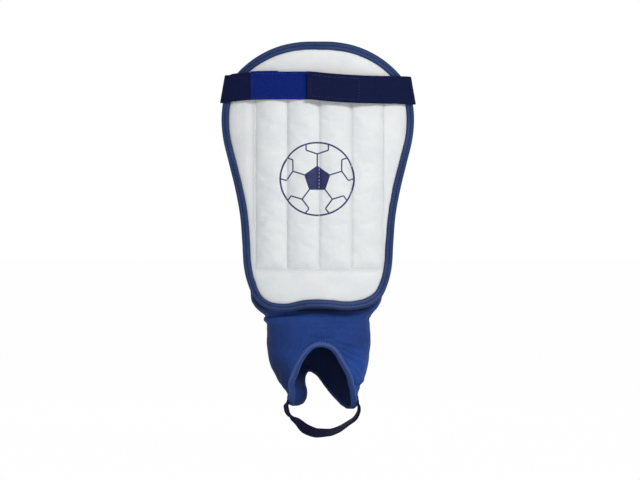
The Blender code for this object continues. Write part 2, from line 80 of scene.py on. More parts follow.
# ---------------------------------------------------------------- maths
def spline(knots, values, at):
    """Smooth curve through the knots, monotone where they are."""
    knots, values, at = (np.asarray(each, float) for each in (knots, values, at))
    rise = np.diff(values) / np.diff(knots)
    slope = np.zeros_like(values)
    same = rise[1:] * rise[:-1] > 0
    before, after = rise[:-1][same], rise[1:][same]
    slope[1:-1][same] = 2 * after * before / (after + before)
    slope[0], slope[-1] = rise[0], rise[-1]
    at = np.clip(at, knots[0], knots[-1])
    i = np.clip(np.searchsorted(knots, at) - 1, 0, len(knots) - 2)
    gap = knots[i + 1] - knots[i]
    t = (at - knots[i]) / gap
    return (values[i] * (2 * t**3 - 3 * t**2 + 1) + slope[i] * gap * (t**3 - 2 * t**2 + t)
            + values[i + 1] * (3 * t**2 - 2 * t**3) + slope[i + 1] * gap * (t**3 - t**2))


def splines(knots, table, at):
    """A spline through each column of the table."""
    return [spline(knots, column, at) for column in table.T]


def smooth(t):
    t = np.clip(t, 0, 1)
    return t * t * (3 - 2 * t)


def bell(distance, width):
    return np.exp(-(distance / width) ** 2)


def grid(first, second):
    return np.meshgrid(first, second, indexing="ij")


def distance_along(points):
    steps = np.linalg.norm(np.diff(np.asarray(points), axis=0), axis=1)
    return np.concatenate([[0], np.cumsum(steps)])


def metres(point):
    return tuple(float(value) / 1000 for value in point)


def noise(x, y, seed):
    """Smooth value noise, -1 to 1, one cell per unit."""
    table = np.random.RandomState(seed).rand(256) * 2 - 1
    order = np.random.RandomState(seed + 977).permutation(256)
    x, y = np.broadcast_arrays(np.asarray(x, float), np.asarray(y, float))
    column, row = np.floor(x).astype(int), np.floor(y).astype(int)
    part_x, part_y = smooth(x - column), smooth(y - row)

    def between(row):
        left, right = (table[order[(order[i & 255] + row) & 255]] for i in (column, column + 1))
        return left * (1 - part_x) + right * part_x

    return between(row) * (1 - part_y) + between(row + 1) * part_y


def bend(across, level, z):
    """A flat point of the shield on the curved one.

    The shield's bottom edge rises a little round its middle."""
    across, z = np.asarray(across, float), np.asarray(z, float)
    z = z + (2.0 * smooth((across + 46.0) / 36.0) * smooth((64.0 - across) / 20.0)
             * smooth((-94.0 - z) / 20.0))
    angle = np.arcsin(np.clip(across / OUTLINE_R, -0.99, 0.99))
    radius = BEND_R + np.asarray(level, float)
    parts = np.broadcast_arrays(radius * np.sin(angle), AXIS_Y - radius * np.cos(angle), z)
    return np.stack(parts, -1)


def outward(across):
    """The direction straight out of the curved shield."""
    angle = np.arcsin(np.asarray(across, float) / OUTLINE_R)
    return np.stack([np.sin(angle), -np.cos(angle), 0 * angle], -1)


def closed_outline(count):
    """Evenly spaced points of the outline, their inward normals and the distances along it."""
    corners = np.concatenate([HALF_OUTLINE, HALF_OUTLINE[-2:0:-1] * (-1, 1)])
    p0, p1, p2, p3 = (np.roll(corners, shift, 0)[:, None] for shift in (1, 0, -1, -2))
    t = np.linspace(0, 1, 24, endpoint=False)[:, None]
    dense = 0.5 * (2 * p1 + (p2 - p0) * t + (2 * p0 - 5 * p1 + 4 * p2 - p3) * t * t
                   + (3 * p1 - p0 - 3 * p2 + p3) * t**3)
    dense = dense.reshape(-1, 2)
    loop = np.vstack([dense, dense[:1]])
    run = distance_along(loop)
    at = np.linspace(0, run[-1], count, endpoint=False)
    points = np.stack([np.interp(at, run, column) for column in loop.T], 1)
    tangent = np.roll(points, -2, 0) - np.roll(points, 2, 0)
    tangent /= np.linalg.norm(tangent, axis=1)[:, None]
    return points, np.stack([tangent[:, 1], -tangent[:, 0]], 1), at


def edge_distance(across, z):
    """How far inside the shield's outline a flat point lies (negative outside)."""
    edge, inward, _ = closed_outline(480)
    points = np.stack([np.ravel(across), np.ravel(z)], 1)
    result = np.empty(len(points))
    batch = 4000        # keeps the table of distances small
    for start in range(0, len(points), batch):
        some = points[start:start + batch]
        distance = np.linalg.norm(some[:, None] - edge[None], axis=2)
        nearest = distance.argmin(1)
        side = ((some - edge[nearest]) * inward[nearest]).sum(1)
        least = distance[np.arange(len(some)), nearest]
        result[start:start + batch] = np.where(side > 0, least, -least)
    return result.reshape(np.shape(across))


TAPE_STITCHES = 290
TAPE_OUTLINE = closed_outline(620)
TAPE_PITCH = float(TAPE_OUTLINE[2][-1] + TAPE_OUTLINE[2][1]) / TAPE_STITCHES


# ---------------------------------------------------------------- shader nodes
def srgb(*levels):
    """A colour from its red, green and blue levels, 0 to 255."""
    linear = [c / 255 / 12.92 if c <= 10.3 else ((c / 255 + 0.055) / 1.055) ** 2.4
              for c in levels]
    return (*linear, 1.0)


def feed(tree, socket, value):
    """Sets a node's input to a plain value, or links another node's output to it."""
    value = getattr(value, "socket", value)
    if isinstance(value, bpy.types.NodeSocket):
        tree.links.new(value, socket)
    else:
        socket.default_value = value


def add_node(tree, kind, inputs, **settings):
    node = tree.nodes.new("ShaderNode" + kind)
    for key, value in settings.items():
        setattr(node, key, value)
    for key, value in inputs.items():
        feed(tree, node.inputs[key], value)
    return node


def node_value(tree, kind, inputs, output=0, **settings):
    return Value(tree, add_node(tree, kind, inputs, **settings).outputs[output])


class Value:
    """A shader node's output. Arithmetic on it adds math nodes."""

    def __init__(self, tree, socket):
        self.tree, self.socket = tree, socket

    def math(self, operation, second=0.0, third=0.0):
        return node_value(self.tree, "Math", {0: self, 1: second, 2: third}, operation=operation)

    def __add__(self, other):
        return self.math("ADD", other)

    def __sub__(self, other):
        return self.math("SUBTRACT", other)

    def __rsub__(self, other):
        return node_value(self.tree, "Math", {0: other, 1: self, 2: 0.0}, operation="SUBTRACT")

    def __mul__(self, other):
        return self.math("MULTIPLY", other)

    def __abs__(self):
        return self.math("ABSOLUTE")

    def scaled(self, times, plus):
        return self.math("MULTIPLY_ADD", times, plus)

    def wave(self, period, shape="SINE"):
        """0 to 1 and back over each period."""
        return (self * (2 * math.pi / period)).math(shape).scaled(times=0.5, plus=0.5)

    def ramp(self, low, high, start=0.0, end=1.0):
        """Runs from start to end as the value goes from low to high."""
        return node_value(self.tree, "MapRange", {
            "Value": self, "From Min": low, "From Max": high, "To Min": start, "To Max": end})


class Shader:
    """A material and short ways to wire its nodes. Textures are measured in millimetres."""

    def __init__(self, name):
        self.material = bpy.data.materials.new(name)
        self.material.use_nodes = True
        self.tree = self.material.node_tree
        uv = add_node(self.tree, "UVMap", {}, uv_map="mm")
        self.uv = node_value(self.tree, "VectorMath", {0: uv.outputs[0], "Scale": 1000.0},
                             operation="SCALE")

    @cached_property
    def axes(self):
        """The UV map's two directions."""
        node = add_node(self.tree, "SeparateXYZ", {0: self.uv})
        return [Value(self.tree, output) for output in node.outputs[:2]]

    def stretched_uv(self, stretch):
        return node_value(self.tree, "VectorMath", {0: self.uv, 1: stretch},
                          operation="MULTIPLY")

    def noise(self, scale, detail=3.0, rough=0.55, stretch=(1, 1, 1)):
        return node_value(self.tree, "TexNoise", {
            "Scale": scale, "Detail": detail, "Roughness": rough,
            "Vector": self.stretched_uv(stretch)})

    def voronoi(self, scale):
        return node_value(self.tree, "TexVoronoi", {
            "Scale": scale, "Vector": self.stretched_uv((1, 1, 1))}, "Distance", feature="F1")

    def mix(self, factor, first, second):
        return node_value(self.tree, "Mix", {"Factor": factor, 6: first, 7: second}, 2,
                          data_type="RGBA")

    def tint(self, base, attribute, share, colour):
        """Mixes in a colour where the mesh attribute is strong, up to the share."""
        strength = node_value(self.tree, "Attribute", {}, "Fac", attribute_name=attribute)
        return self.mix(strength * share, base, colour)

    def finish(self, colour, rough, bumps, sheen=0.0, sheen_tint=(1, 1, 1, 1),
               sheen_rough=0.4, specular=0.4):
        """Fills in the surface. Each bump is (height, depth in mm, strength)."""
        normal = None
        for height, depth, strength in bumps:
            inputs = {"Distance": depth / 1000.0, "Strength": strength, "Height": height}
            if normal is not None:
                inputs["Normal"] = normal
            normal = node_value(self.tree, "Bump", inputs)
        surface = self.tree.nodes["Principled BSDF"]
        for key, value in {
            "Base Color": colour, "Roughness": rough, "Normal": normal, "Sheen Weight": sheen,
            "Sheen Tint": sheen_tint, "Sheen Roughness": sheen_rough,
            "Specular IOR Level": specular,
        }.items():
            feed(self.tree, surface.inputs[key], value)
        return self.material


# ---------------------------------------------------------------- materials
def ball_print(shader, centre, radius):
    """A football in lines, 1 where there is ink: ring, centre panel and seams running out."""
    fifth = 2 * math.pi / 5
    along, up = shader.axes
    x, y = along - centre[0], up - centre[1]
    distance = (x * x + y * y).math("SQRT")
    angle = x.math("ARCTAN2", y)

    def fold(angle):
        return (angle + fifth / 2).math("FLOORED_MODULO", fifth) - fifth / 2

    def line(offset, half):
        """A line of the given half width where the offset is 0, with soft edges."""
        return abs(offset).ramp(half + 0.12, half - 0.12)

    def step(value, low, high):
        """0 to 1 between two shares of the radius."""
        return value.ramp(radius * low, radius * high)

    def in_ring():
        return distance.ramp(radius, radius - 0.1)

    def either(first, second):
        return first.math("MAXIMUM", second)

    ring = line(distance - radius, half=0.75)
    across_panel = distance * fold(angle + fifth / 2).math("COSINE")
    panel = across_panel.ramp(radius * 0.30 + 0.15, radius * 0.30 - 0.15)
    # out runs towards each corner of the centre panel, side square to it
    to_corner = fold(angle)
    side = distance * to_corner.math("SINE")
    out = distance * to_corner.math("COSINE")
    spoke = line(side, half=0.6) * (step(out, 0.34, 0.35) * step(out, 0.70, 0.69))
    # two seams slant from each spoke's end; the weight of 0 leaves them straight
    slant = abs(side) * 0.80 + out * 0.0
    chevron = line(((out - radius * 0.69) - slant * 0.42) * 0.92, half=0.6) * in_ring()
    cap = line(abs(side) - radius * 0.30, half=0.6) * (step(out, 0.785, 0.795) * in_ring())
    chevron = chevron * step(abs(side), 0.305, 0.30)
    mask = either(either(ring, panel), either(spoke, either(chevron, cap)))
    return mask * distance.ramp(radius + 1.2, radius + 1.1)


def make_cover():
    """White coated fabric: fine leathery grain and the printed ball."""
    shader = Shader("white_coated_fabric")
    grain = shader.voronoi(scale=0.95)
    fine = shader.noise(scale=1.7, detail=4)
    broad = shader.noise(scale=0.035)
    base = shader.mix(broad.ramp(low=0.35, high=0.7), srgb(227, 230, 233), srgb(235, 237, 238))
    base = shader.mix(grain.ramp(low=0.0, high=0.75, start=0.10, end=0.0), base,
                      srgb(190, 195, 203))
    # painted shade in the seam grooves
    base = shader.tint(base, "seam", share=0.16, colour=srgb(160, 167, 178))
    ink = ball_print(shader, centre=(-0.5, -3.0), radius=33.0)
    ink = ink * fine.ramp(low=0.25, high=0.45, start=0.90, end=1.0)
    base = shader.mix(ink, base, srgb(38, 44, 96))
    return shader.finish(base, rough=fine.ramp(low=0.3, high=0.7, start=0.50, end=0.62),
                         bumps=[(grain, 0.10, 0.55), (fine, 0.05, 0.4)], specular=0.35)


def make_tape(name, dark, light, worn, sheen, pitch=2.6, holes=0.85, line=0.10):
    """Folded knit tape with slanting ribs. Its groove is darkened in dots at the stitch pitch and
    by painted shade in a faint line; its inner parts get painted shade and its crests a painted
    highlight.
    """
    shader = Shader(name)
    along, up = shader.axes
    twill = (along + up * 0.9).wave(period=0.62)
    cell = twill * up.wave(period=0.55)
    blotch = shader.noise(scale=0.12)
    base = shader.mix((cell * 0.5 + blotch * 0.5).ramp(low=0.15, high=0.75), dark, light)
    # painted shade where the mesh marks the tape's folded edges and inner side
    base = shader.tint(base, "inside", share=0.6, colour=srgb(10, 16, 42))
    hole = along.wave(pitch, shape="COSINE").math("POWER", 1.6)
    # painted highlight along the tape's rounded crests
    base = shader.tint(base, "crest", share=0.55, colour=worn)
    # painted shade along the stitched groove, with dark dots at the stitch pitch
    base = shader.tint(base, "groove", share=hole.scaled(holes, line), colour=srgb(6, 10, 34))
    return shader.finish(base, rough=0.66,
                         bumps=[(cell, 0.10, 0.5), (shader.noise(scale=1.2), 0.06, 0.4)],
                         sheen=sheen, sheen_tint=(0.45, 0.62, 1, 1), sheen_rough=0.35,
                         specular=0.25)


def make_knit(name, dark, light, sheen):
    """Stretch knit: upright wales crossed by short courses, with fuzz."""
    shader = Shader(name)
    along, up = shader.axes
    wale = (along + shader.noise(scale=0.10, detail=2) * 1.6).wave(period=0.95)
    course = (up + wale * 0.35).wave(period=0.80)
    loop = wale * course.scaled(times=0.5, plus=0.5)
    melange = shader.noise(scale=0.9, detail=4, rough=0.6, stretch=(1.0, 0.45, 1))
    broad = shader.noise(scale=0.05)
    shade = loop * 0.30 + (melange * 0.45 + broad * 0.35)
    base = shader.mix(shade.ramp(low=0.25, high=0.85), dark, light)
    # painted shade where the mesh marks it: in seam grooves, under the shield's edge, down the
    # left side and on inner faces; then painted light on the lower right
    for attribute, share, colour in (
        ("seam", 0.37, srgb(4, 9, 32)), ("stretched", 0.72, srgb(15, 30, 72)),
        ("bright", 0.34, srgb(44, 92, 190)), ("inside", 0.80, srgb(4, 9, 33)),
    ):
        base = shader.tint(base, attribute, share, colour)
    return shader.finish(base, rough=0.78, bumps=[(loop, 0.14, 0.55), (melange, 0.10, 0.45)],
                         sheen=sheen, sheen_tint=(0.45, 0.6, 1, 1), specular=0.25)


def make_elastic(name, dark, light):
    """Woven elastic: lengthwise cords crossed by fine picks."""
    shader = Shader(name)
    along, up = shader.axes
    cord = up.wave(period=1.27)
    pick = (along + up.wave(period=2.54) * 0.3).wave(period=0.7)
    weave = cord * pick.scaled(times=0.55, plus=0.45)
    wear = shader.noise(scale=0.18, detail=4)
    base = shader.mix((weave * 0.6 + wear * 0.4).ramp(low=0.15, high=0.85), dark, light)
    return shader.finish(base, rough=0.8, bumps=[(weave, 0.12, 0.6)], sheen=0.03,
                         sheen_tint=(0.4, 0.5, 1, 1), specular=0.12)


def make_loop():
    """Loop pile: matted curls of fine filament."""
    shader = Shader("loop_pile")
    curl = shader.voronoi(scale=1.5)
    matted = shader.noise(scale=0.55, detail=5, rough=0.7)
    shade = curl * 0.6 + matted * 0.6
    base = shader.mix(shade.ramp(low=0.35, high=0.95), srgb(16, 40, 132), srgb(8, 24, 84))
    return shader.finish(base, rough=0.9, bumps=[(1.0 - curl, 0.30, 0.7), (matted, 0.25, 0.6)],
                         sheen=0.12, sheen_tint=(0.25, 0.45, 1, 1), sheen_rough=0.5,
                         specular=0.10)


def make_plain(name, first, second, rough, scale, depth, specular=0.3):
    """A mottle of two colours that also bumps the surface."""
    shader = Shader(name)
    mottle = shader.noise(scale, detail=4)
    base = shader.mix(mottle.ramp(low=0.3, high=0.7), srgb(*first), srgb(*second))
    rough = mottle.ramp(low=0.3, high=0.7, start=rough - 0.05, end=rough + 0.05)
    return shader.finish(base, rough, bumps=[(mottle, depth, 0.5)], specular=specular)


LOOKS = {
    "cover": make_cover(),
    "binding": make_tape("binding_tape", srgb(30, 50, 94), srgb(48, 72, 122),
                         worn=srgb(78, 98, 156), sheen=0.22, pitch=TAPE_PITCH, holes=0.0,
                         line=0.0),
    "hem": make_tape("hem_tape", srgb(29, 55, 116), srgb(50, 81, 150),
                     worn=srgb(92, 118, 182), sheen=0.26),
    "knit": make_knit("blue_stretch_knit", srgb(18, 45, 107), srgb(37, 76, 154), sheen=0.14),
    "inner": make_knit("pocket_knit", srgb(14, 30, 80), srgb(28, 52, 116), sheen=0.1),
    "lining": make_knit("brushed_lining", srgb(22, 42, 100), srgb(40, 64, 132), sheen=0.22),
    "elastic": make_elastic("navy_woven_elastic", srgb(9, 16, 50), srgb(19, 29, 73)),
    "stirrup": make_elastic("stirrup_woven_elastic", srgb(12, 13, 40), srgb(22, 23, 56)),
    "loop": make_loop(),
}
# key: name, two colours, roughness, mottle scale, bump depth in mm and, for some, specular
PLAIN_LOOKS = {
    "overlock": ("overlock_thread", (20, 26, 58), (34, 42, 84), 0.7, 2.0, 0.10),
    "hook": ("moulded_hook_tape", (16, 18, 44), (28, 30, 62), 0.45, 1.2, 0.2),
    "thread_white": ("white_thread", (214, 217, 222), (232, 234, 238), 0.6, 2.5, 0.05),
    "thread_blue": ("blue_thread", (60, 76, 122), (84, 100, 148), 0.6, 2.5, 0.05),
    "thread_tape": ("tape_thread", (9, 14, 44), (16, 22, 58), 0.7, 2.5, 0.05, 0.15),
    "thread_hem": ("hem_thread", (84, 102, 158), (108, 126, 180), 0.6, 2.5, 0.05),
    "thread_navy": ("navy_thread", (40, 46, 92), (56, 62, 112), 0.6, 2.5, 0.05),
    "foam": ("closed_cell_foam", (206, 204, 196), (226, 224, 218), 0.9, 1.4, 0.2),
    "slat": ("moulded_slat_plastic", (214, 213, 208), (230, 229, 224), 0.38, 0.2, 0.03, 0.5),
}
for key, values in PLAIN_LOOKS.items():
    LOOKS[key] = make_plain(*values)


# ---------------------------------------------------------------- meshes
def put_mesh(name, points, faces, look, uv=None, slot=None, sharp=60, merge=False, **fields):
    """An object from points, with its faces turned outwards. Fields are point attributes."""
    mesh = bpy.data.meshes.new(name)
    mesh.from_pydata((np.asarray(points, float) / 1000.0).tolist(), [],
                     [tuple(int(i) for i in face) for face in faces])
    if uv is not None:
        layer = mesh.uv_layers.new(name="mm")
        index = np.empty(len(mesh.loops), np.int32)
        mesh.loops.foreach_get("vertex_index", index)
        corners = np.asarray(uv, float)[index] / 1000.0
        layer.data.foreach_set("uv", corners.astype(np.float32).ravel())
    for key, value in fields.items():
        attribute = mesh.attributes.new(key, "FLOAT", "POINT")
        attribute.data.foreach_set("value", np.asarray(value, np.float32).ravel())
    mesh.shade_smooth()
    if sharp:
        mesh.set_sharp_from_angle(angle=math.radians(sharp))
    mesh.materials.append(LOOKS[look])
    ob = bpy.data.objects.new(name, mesh)
    bpy.context.scene.collection.objects.link(ob)
    bm = bmesh.new()
    bm.from_mesh(mesh)
    if merge:
        bmesh.ops.remove_doubles(bm, verts=bm.verts, dist=1e-6)
        bmesh.ops.dissolve_degenerate(bm, edges=bm.edges, dist=1e-7)
    bmesh.ops.recalc_face_normals(bm, faces=bm.faces)
    bm.to_mesh(mesh)
    bm.free()
    return ob


def tube_faces(count, sides, closed):
    faces = []
    for i in range(count if closed else count - 1):
        near, far = i * sides, (i + 1) % count * sides
        for j in range(sides):
            k = (j + 1) % sides
            faces.append((near + j, near + k, far + k, far + j))
    if not closed:
        # each cap is a strip across the loop, so that it stays flat when the piece bends
        for base, step in ((0, -1), ((count - 1) * sides, 1)):
            for j in range(sides // 2 - 1):
                quad = (base + j, base + j + 1, base + sides - 2 - j, base + sides - 1 - j)
                faces.append(quad[::step])
    return faces


def sweep(name, sections, look, uv, slot, closed=False, sharp=60, **fields):
    """A tube through sections of equal point count."""
    sections = np.asarray(sections, float)
    count, sides = sections.shape[:2]
    return put_mesh(name, sections.reshape(-1, 3), tube_faces(count, sides, closed), look,
                    np.asarray(uv).reshape(-1, 2), slot, sharp, **fields)


def slab(name, top, bottom, look, uv, slot, sharp=60, **fields):
    """A closed sheet between two grids of points. Each field is (top values, bottom values)."""
    rows, columns = top.shape[:2]

    def over(i, j):
        return i * columns + j

    def under(i, j):
        return (rows + i) * columns + j

    faces = []
    last = columns - 1
    for i in range(rows - 1):
        for j in range(last):
            faces.append((over(i, j), over(i + 1, j), over(i + 1, j + 1), over(i, j + 1)))
            faces.append((under(i, j), under(i, j + 1), under(i + 1, j + 1), under(i + 1, j)))
        faces.append((over(i, 0), under(i, 0), under(i + 1, 0), over(i + 1, 0)))
        faces.append((over(i, last), over(i + 1, last), under(i + 1, last), under(i, last)))
    i = rows - 1
    for j in range(last):
        faces.append((over(0, j), over(0, j + 1), under(0, j + 1), under(0, j)))
        faces.append((over(i, j), under(i, j), under(i, j + 1), over(i, j + 1)))
    points = np.concatenate([top.reshape(-1, 3), bottom.reshape(-1, 3)])
    uv = np.asarray(uv, float).reshape(-1, 2)
    fields = {key: np.concatenate([np.ravel(side) for side in pair])
              for key, pair in fields.items()}
    return put_mesh(name, points, faces, look, np.concatenate([uv, uv]), slot, sharp, **fields)


def stitches(name, places, look, length, radius, slot, rides, sides=6):
    """A row of thread stitches, each a closed lozenge. Places are (point, along, out)."""
    rows = [(-0.36, 0.8), (0.0, 1.0), (0.36, 0.8)]      # shares of the length and the radius
    body = [(share, full, k) for share, full in rows for k in range(sides)]
    points, faces, uv = [], [], []
    for place in places:
        point, along, out = (np.asarray(each, float) for each in place)
        along = along / np.linalg.norm(along)
        out = out - along * (out @ along)
        out /= np.linalg.norm(out)
        side = np.cross(along, out)
        first = len(points)
        start, stop = (point + along * end * length - out * radius * 0.8 for end in (-0.5, 0.5))
        points.append(start)
        for share, full, k in body:
            angle = 2 * math.pi * k / sides
            points.append(point + along * share * length
                          + (out * math.cos(angle) + side * math.sin(angle)) * radius * full
                          - out * radius * (0.8 * abs(share) * 2) ** 2)
        points.append(stop)
        uv += [(0, 0)] + [(share * length, k) for share, _, k in body] + [(1, 1)]
        for k in range(sides):
            after = (k + 1) % sides
            row = first + 1
            faces.append((first, row + after, row + k))
            for _ in range(2):
                faces.append((row + k, row + after, row + sides + after, row + sides + k))
                row += sides
            faces.append((len(points) - 1, row + k, row + after))
    ob = put_mesh(name, points, faces, look, uv, slot, sharp=0)
    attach(ob, rides)


# ---------------------------------------------------------------- the quilted cover
def quilt(across, z):
    """Whether points lie in the quilted block, how near a channel's middle (0 to 1), and how
    far in from the block's ends."""
    channel = (across - BLOCK_X[0]) / CHANNEL_W
    inside = (channel > 0) & (channel < CHANNELS) & (z > BLOCK_Z[0]) & (z < BLOCK_Z[1])
    middle = 1 - np.abs(2 * (channel % 1.0) - 1)
    return inside, middle, np.minimum(z - BLOCK_Z[0], BLOCK_Z[1] - z)


def cover_lines():
    """The cover's grid lines, with one on every seam."""
    across = list(np.arange(-92.0, BLOCK_X[0] - 1.5, 2.6))
    for seam in SEAM_X[:-1]:
        across += [seam] + list(seam + 1.1 + (CHANNEL_W - 2.2) * np.linspace(0, 1, 11))
    across += [BLOCK_X[1]] + list(np.arange(BLOCK_X[1] + 2.2, 93.0, 2.6))
    low, high = BLOCK_Z
    z = list(np.arange(-128.0, low - 1.5, 2.6)) + [low]
    z += list(low + 1.2 + (high - low - 2.4) * np.linspace(0, 1, 64))
    z += [high] + list(np.arange(high + 2.4, 126.0, 2.6))
    return np.array(across), np.array(z)


def simulate_cover(across, z, dome):
    """How far each grid point rises when cloth is blown up between the seams.

    The fabric and a fixed sheet behind it make one closed bag, held along every seam."""
    rows, columns = across.shape
    inside, middle, _ = quilt(across, z)
    on_end = (np.abs(z - BLOCK_Z[0]) < 0.1) | (np.abs(z - BLOCK_Z[1]) < 0.1)
    held = ~inside | (middle < 0.02) | on_end
    # a little unevenness to start from, so that the fabric gathers as sewn cloth does
    start = (dome * (1 + 0.12 * noise(across / 9.0, z / 11.0, 5))
             + np.where(held, 0, 0.05 * noise(across / 4.0, z / 3.0, 6)))
    front = np.stack([across, -start, z], -1).reshape(-1, 3)
    back = np.stack([across, np.full(across.shape, 6.0), z], -1).reshape(-1, 3)
    count = rows * columns
    faces = [(i * columns + j, (i + 1) * columns + j, (i + 1) * columns + j + 1,
              i * columns + j + 1) for i in range(rows - 1) for j in range(columns - 1)]
    faces += [tuple(count + v for v in reversed(face)) for face in faces]
    rim = [i * columns for i in range(rows)]
    rim += [(rows - 1) * columns + j for j in range(1, columns)]
    rim += [i * columns + columns - 1 for i in range(rows - 2, -1, -1)]
    rim += list(range(columns - 2, 0, -1))
    faces += [(v, count + v, count + after, after) for v, after in zip(rim, rim[1:] + rim[:1])]
    ob = put_mesh("cover_cloth", np.concatenate([front, back]), faces, "cover", sharp=0)
    group = ob.vertex_groups.new(name="held")
    fixed = [int(i) for i in np.flatnonzero(held.ravel())] + list(range(count, 2 * count))
    group.add(fixed, 1.0, "REPLACE")

    modifier = ob.modifiers.new("cloth", "CLOTH")
    cloth = modifier.settings
    cloth.vertex_group_mass = "held"
    cloth.quality = 8
    cloth.mass = 0.25
    cloth.tension_stiffness = cloth.compression_stiffness = 14.0
    cloth.shear_stiffness = 6.0
    cloth.bending_stiffness = 0.6
    cloth.tension_damping = cloth.compression_damping = cloth.shear_damping = 8.0
    cloth.shrink_min = cloth.shrink_max = -0.008
    cloth.use_pressure = True
    cloth.uniform_pressure_force = 4.0
    cloth.effector_weights.gravity = 0.0
    modifier.collision_settings.use_collision = False
    scene = bpy.context.scene
    last_frame = 20
    for times in (scene, modifier.point_cache):
        times.frame_start, times.frame_end = 1, last_frame
    for frame in range(1, last_frame + 1):
        scene.frame_set(frame)
    mesh = ob.evaluated_get(bpy.context.evaluated_depsgraph_get()).to_mesh()
    points = np.empty(len(mesh.vertices) * 3)
    mesh.vertices.foreach_get("co", points)
    points = points.reshape(-1, 3)[:count] * 1000.0
    scene.frame_set(1)
    bpy.data.objects.remove(ob)

    furthest = 5.0
    move = points - front
    size = np.linalg.norm(move, axis=1)
    move *= (np.minimum(size, furthest) / np.maximum(size, 1e-9))[:, None]
    return -(front + move)[:, 1].reshape(rows, columns)


def finer(coarse):
    """The grid with a point added halfway between each two, both ways."""
    tall = np.empty((coarse.shape[0] * 2 - 1, coarse.shape[1]))
    tall[::2], tall[1::2] = coarse, (coarse[:-1] + coarse[1:]) / 2
    fine = np.empty((tall.shape[0], tall.shape[1] * 2 - 1))
    fine[:, ::2], fine[:, 1::2] = tall, (tall[:, :-1] + tall[:, 1:]) / 2
    return fine


def puffed_grid():
    """The cover's fine grid and how far its channels puff out."""
    across, z = grid(*cover_lines())
    inside, middle, end = quilt(across, z)
    round_end = np.sin(np.clip(end / 9.0, 0, 1) * math.pi / 2)
    rise = np.where(inside, 3.2 * (1 - (1 - middle) ** 2.4) * round_end, 0.0)
    blown = simulate_cover(across, z, rise * 0.85)
    top = np.percentile(blown[inside], 97)
    rise = np.where(inside, np.clip(blown * (3.7 / top), 0.0, 4.4), 0.0)
    rise = finer(rise)
    soft = rise.copy()
    soft[1:-1, 1:-1] = (rise[1:-1, 1:-1] * 2 + rise[2:, 1:-1] + rise[:-2, 1:-1]
                        + rise[1:-1, 2:] + rise[1:-1, :-2]) / 6
    return finer(across), finer(z), soft


def beyond(value, limits):
    """How far a value lies outside the limits, or 99 inside them."""
    low, high = limits
    return np.minimum(np.where(value < low, low - value, 99),
                      np.where(value > high, value - high, 99))


def between(value, limits):
    """1 between the limits, fading to 0 over 3 mm at each."""
    low, high = limits
    return smooth((value - low + 1.5) / 3.0) * smooth((high - value + 1.5) / 3.0)


def to_nearest(value, lines):
    return np.min([np.abs(value - line) for line in lines], axis=0)


def cover_levels(across, z, inset, rise):
    """The cover's front level, its seam grooves (0 to 1) and nearness to the seams (0 to 1)."""
    inside, _, _ = quilt(across, z)
    # foam outside the channels: a soft swell that dies at the binding and near the block
    to_block = np.where(inside, 0.0, np.minimum(beyond(z, BLOCK_Z), beyond(across, BLOCK_X)))
    swell = 1.1 * smooth(np.minimum(to_block, 9.0) / 9.0) * smooth((inset - 6.0) / 10.0)
    level = COVER_LEVEL + rise + np.where(inside, 0.0, swell)
    # seam valleys, puckered by the stitches; the block's outer seams are shallower
    on_z, on_across = between(z, BLOCK_Z), between(across, BLOCK_X)
    to_upright, to_level = to_nearest(across, SEAM_X), to_nearest(z, BLOCK_Z)
    outer = 1 - 0.45 * bell(to_nearest(across, BLOCK_X), 4.0)
    groove = np.maximum(bell(to_upright, 1.25) * on_z * outer,
                        0.5 * bell(to_level, 1.1) * on_across)
    near = np.maximum(bell(to_upright, 4.5) * on_z, bell(to_level, 4.5) * on_across)
    pucker = 0.16 * near * (1 - groove) * (
        noise(across / 9.0, z / 2.1, 11) * bell(to_upright, 4.5)
        + noise(across / 2.1, z / 9.0, 12) * bell(to_level, 4.5))
    level += -0.85 * groove + pucker
    # gentle unevenness of the foam
    level += 0.16 * noise(across / 17.0, z / 26.0, 21) + 0.05 * noise(across / 6.0, z / 8.0, 22)
    # drawn down into the binding
    level -= 1.5 * (1 - smooth((inset - 4.0) / 6.5))
    # pressed by the strap
    under = smooth((STRAP_W / 2 + 13.0 - np.abs(z - strap_z(across))) / 13.0)
    ceiling = STRAP_LEVEL - 0.35 - 0.9 * smooth((np.abs(across) - 52) / 22)
    level = np.where(level > ceiling, level + (ceiling - level) * under, level)
    return level, groove, near


